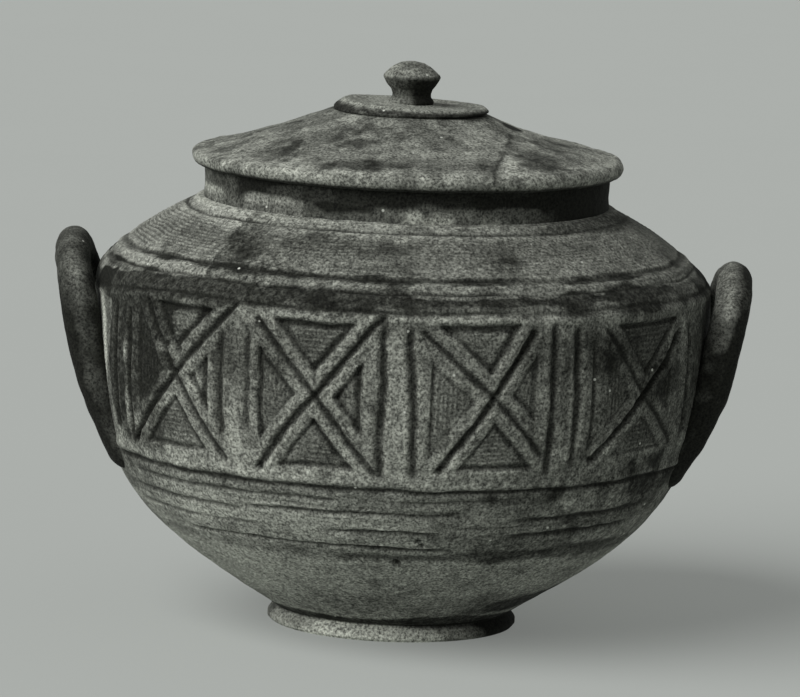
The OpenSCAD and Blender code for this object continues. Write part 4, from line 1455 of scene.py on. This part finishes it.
def make_knob():
    """The mushroom knob, its foot let into the boss."""
    lid = settings().lid
    low, high, reach = in_mm(lid, "boss_z"), in_mm(lid, "knob_z"), in_mm(lid, "knob_r")
    foot, wide = low - KNOB_SUNK, high - KNOB_CAP
    corners = [(4, foot), (11.0, foot), (11.3, low + 0.4), (10.8, low + 1.6), (9.9, low + 2.6),
               (9.8, low + 4.4), (10.5, low + 6.6), (12.0, low + 8.6), (13.4, wide - 2.0),
               (reach, wide - 0.2), (reach - 0.2, wide + 0.8), (reach - 2.2, wide + 2.7),
               (9.2, high - 2.6), (6.0, high - 0.8), (3.0, high - 0.1)]
    section = resampled(corners, step=0.6)
    piece = turned("lid_knob_shaped", section, whole_turn(section, KNOB_COLUMNS), roughness=0.55,
                   pole_heights=(foot, high), shape=knob_shape, marks=knob_marks, crease=60)
    finish_piece(piece, "lid", "lid_knob", handle_ware())


# Stage

# Half the floor's side in metres, and the width of the lumps of its faint mottling in mm
FLOOR_REACH = 9.0
SHEET_MOTTLE_MM = 220
# Level at which the backdrop has the tone of the lit floor before it
BACKDROP_LEVEL = 0.85
# Strength of a sun that lights a white sheet facing it to white
SUN_PER_WHITE = math.pi
# The camera: how far in front of the jar's axis it stands, its height, the point that it looks at and how
# far it sees, in metres, then its roll in degrees, and its lens and sensor in mm
CAMERA_DISTANCE = 2.8
CAMERA_HEIGHT = 0.545
AIM = (-0.0005, 0.002, 0.1385)
CAMERA_SIGHT = 60
CAMERA_ROLL = 2.1
LENS = 252.0
SENSOR = 36.0


def floor_material():
    """Matte pale sheet that glows by itself as well, so that the soft shadow on it stays faint: painted
    light.
    """
    stage = settings().stage
    material, tree = new_material("Matte opal sheet")
    place = add(tree, "TexCoord").outputs["Object"]
    mottle = add(tree, "TexNoise", {"Vector": place, "Scale": per_metre(SHEET_MOTTLE_MM), "Detail": 2})
    lit = 1 - stage.glow
    tone = add(tree, "Mix", {FACTOR: mottle.outputs["Fac"], FIRST: rgba(stage.floor, 0.97 * lit),
                             SECOND: rgba(stage.floor, lit)}, data_type="RGBA")
    open_light = stage.key * math.sin(stage.key_height) + stage.ambient
    shader = add(tree, "BsdfPrincipled", {"Base Color": tone.outputs[RESULT], "Roughness": 0.95,
                                          "Specular IOR Level": 0.1, "Emission Color": rgba(stage.floor),
                                          "Emission Strength": stage.glow * open_light})
    add(tree, "OutputMaterial", {"Surface": shader.outputs["BSDF"]})
    return material


def make_floor():
    """The floor that the jar stands on."""
    mesh = bpy.data.meshes.new("studio_floor")
    corners = [(x * FLOOR_REACH, y * FLOOR_REACH, 0) for x, y in ((-1, -1), (1, -1), (1, 1), (-1, 1))]
    mesh.from_pydata(corners, [], [(0, 1, 2, 3)])
    floor = bpy.data.objects.new("studio_floor", mesh)
    bpy.context.scene.collection.objects.link(floor)
    floor.data.materials.append(floor_material())


def make_lights():
    """A soft key light from the left, light from all round, and a backdrop that lights nothing."""
    stage = settings().stage
    sun = bpy.data.lights.new("key_light", "SUN")
    sun.energy = stage.key * SUN_PER_WHITE
    sun.angle = stage.key_softness
    lamp = bpy.data.objects.new("key_light", sun)
    flat = math.cos(stage.key_height)
    towards = Vector((flat * math.sin(stage.key_azimuth), -flat * math.cos(stage.key_azimuth),
                      math.sin(stage.key_height)))
    lamp.rotation_euler = towards.to_track_quat("Z", "Y").to_euler()
    bpy.context.scene.collection.objects.link(lamp)
    world = bpy.data.worlds.new("studio_air")
    world.use_nodes = True
    tree = world.node_tree
    tree.nodes.clear()
    rays = add(tree, "LightPath")
    seen = add(tree, "Background", {"Color": rgba(stage.floor), "Strength": BACKDROP_LEVEL})
    air = add(tree, "Background", {"Color": (1, 1, 1, 1), "Strength": stage.ambient})
    mirrored = add(tree, "Math", {0: rays.outputs["Is Glossy Ray"], 1: rays.outputs["Is Transmission Ray"]},
                   operation="MAXIMUM")
    direct = add(tree, "Math", {0: rays.outputs["Is Camera Ray"], 1: mirrored.outputs[0]},
                 operation="MAXIMUM")
    either = add(tree, "MixShader", {0: direct.outputs[0], 1: air.outputs[0], 2: seen.outputs[0]})
    add(tree, "OutputWorld", {"Surface": either.outputs[0]})
    bpy.context.scene.world = world


def make_camera():
    """The camera that took the photograph: far away and a little above."""
    data = bpy.data.cameras.new("photo_camera")
    data.lens = LENS
    data.sensor_width = SENSOR
    data.clip_end = CAMERA_SIGHT
    camera = bpy.data.objects.new("photo_camera", data)
    eye = Vector((0, -CAMERA_DISTANCE, CAMERA_HEIGHT))
    look = (Vector(AIM) - eye).to_track_quat("-Z", "Y").to_matrix().to_4x4()
    roll = Matrix.Rotation(math.radians(CAMERA_ROLL), 4, "Z")
    camera.matrix_world = Matrix.Translation(eye) @ look @ roll
    bpy.context.scene.collection.objects.link(camera)
    bpy.context.scene.camera = camera


# Operators

class JAR_OT_stage(Operator):
    """Adds the camera, the floor and the lights"""
    bl_idname = "jar.stage"
    bl_label = "Stage"

    def execute(self, context):
        make_camera()
        make_floor()
        make_lights()
        context.scene.view_settings.view_transform = "Standard"
        return {"FINISHED"}


class JAR_OT_foot(Operator):
    """Builds the foot ring"""
    bl_idname = "jar.foot"
    bl_label = "Foot Ring"

    def execute(self, context):
        make_foot()
        return {"FINISHED"}


class JAR_OT_bowl(Operator):
    """Builds the bowl with its floor"""
    bl_idname = "jar.bowl"
    bl_label = "Bowl"

    def execute(self, context):
        make_bowl()
        return {"FINISHED"}


class JAR_OT_belly(Operator):
    """Builds the belly wall with its cut frieze"""
    bl_idname = "jar.belly"
    bl_label = "Belly and Frieze"

    def execute(self, context):
        make_belly()
        return {"FINISHED"}


class JAR_OT_shoulder(Operator):
    """Builds the combed shoulder and its mended sherd"""
    bl_idname = "jar.shoulder"
    bl_label = "Shoulder"

    def execute(self, context):
        make_shoulder()
        return {"FINISHED"}


class JAR_OT_neck(Operator):
    """Builds the neck and its mended sherd"""
    bl_idname = "jar.neck"
    bl_label = "Neck"

    def execute(self, context):
        make_neck()
        return {"FINISHED"}


class JAR_OT_handles(Operator):
    """Builds the two loop handles"""
    bl_idname = "jar.handles"
    bl_label = "Handles"

    def execute(self, context):
        for handle in HANDLES:
            make_handle(*handle)
        return {"FINISHED"}


class JAR_OT_lid(Operator):
    """Builds the lid, its mended sherd and its locating ring"""
    bl_idname = "jar.lid"
    bl_label = "Lid"

    def execute(self, context):
        make_lid()
        make_locating_ring()
        return {"FINISHED"}


class JAR_OT_knob(Operator):
    """Builds the boss disc and the knob"""
    bl_idname = "jar.knob"
    bl_label = "Boss and Knob"

    def execute(self, context):
        make_boss()
        make_knob()
        return {"FINISHED"}


OPERATORS = (JAR_OT_stage, JAR_OT_foot, JAR_OT_bowl, JAR_OT_belly, JAR_OT_shoulder, JAR_OT_neck,
             JAR_OT_handles, JAR_OT_lid, JAR_OT_knob)


class JAR_PT_panel(Panel):
    """Lists the steps in which the jar is built"""
    bl_idname = "JAR_PT_panel"
    bl_label = "Earthenware Jar"
    bl_space_type = "VIEW_3D"
    bl_region_type = "UI"
    bl_category = "Jar"

    def draw(self, context):
        column = self.layout.column()
        for operator in OPERATORS:
            column.operator(operator.bl_idname)


CLASSES = (WallSizes, ReliefSizes, HandleSizes, LidSizes, WareColours, StageSettings, JarSettings, *OPERATORS,
           JAR_PT_panel)


def register():
    """Registers the settings, the operators and the panel."""
    for cls in CLASSES:
        bpy.utils.register_class(cls)
    bpy.types.Scene.jar = PointerProperty(type=JarSettings)


def unregister():
    """Takes them out again."""
    del bpy.types.Scene.jar
    for cls in reversed(CLASSES):
        bpy.utils.unregister_class(cls)


def main():
    """Builds the jar step by step."""
    register()
    for operator in OPERATORS:
        group, name = operator.bl_idname.split(".")
        getattr(getattr(bpy.ops, group), name)()


if __name__ == "__main__":
    main()
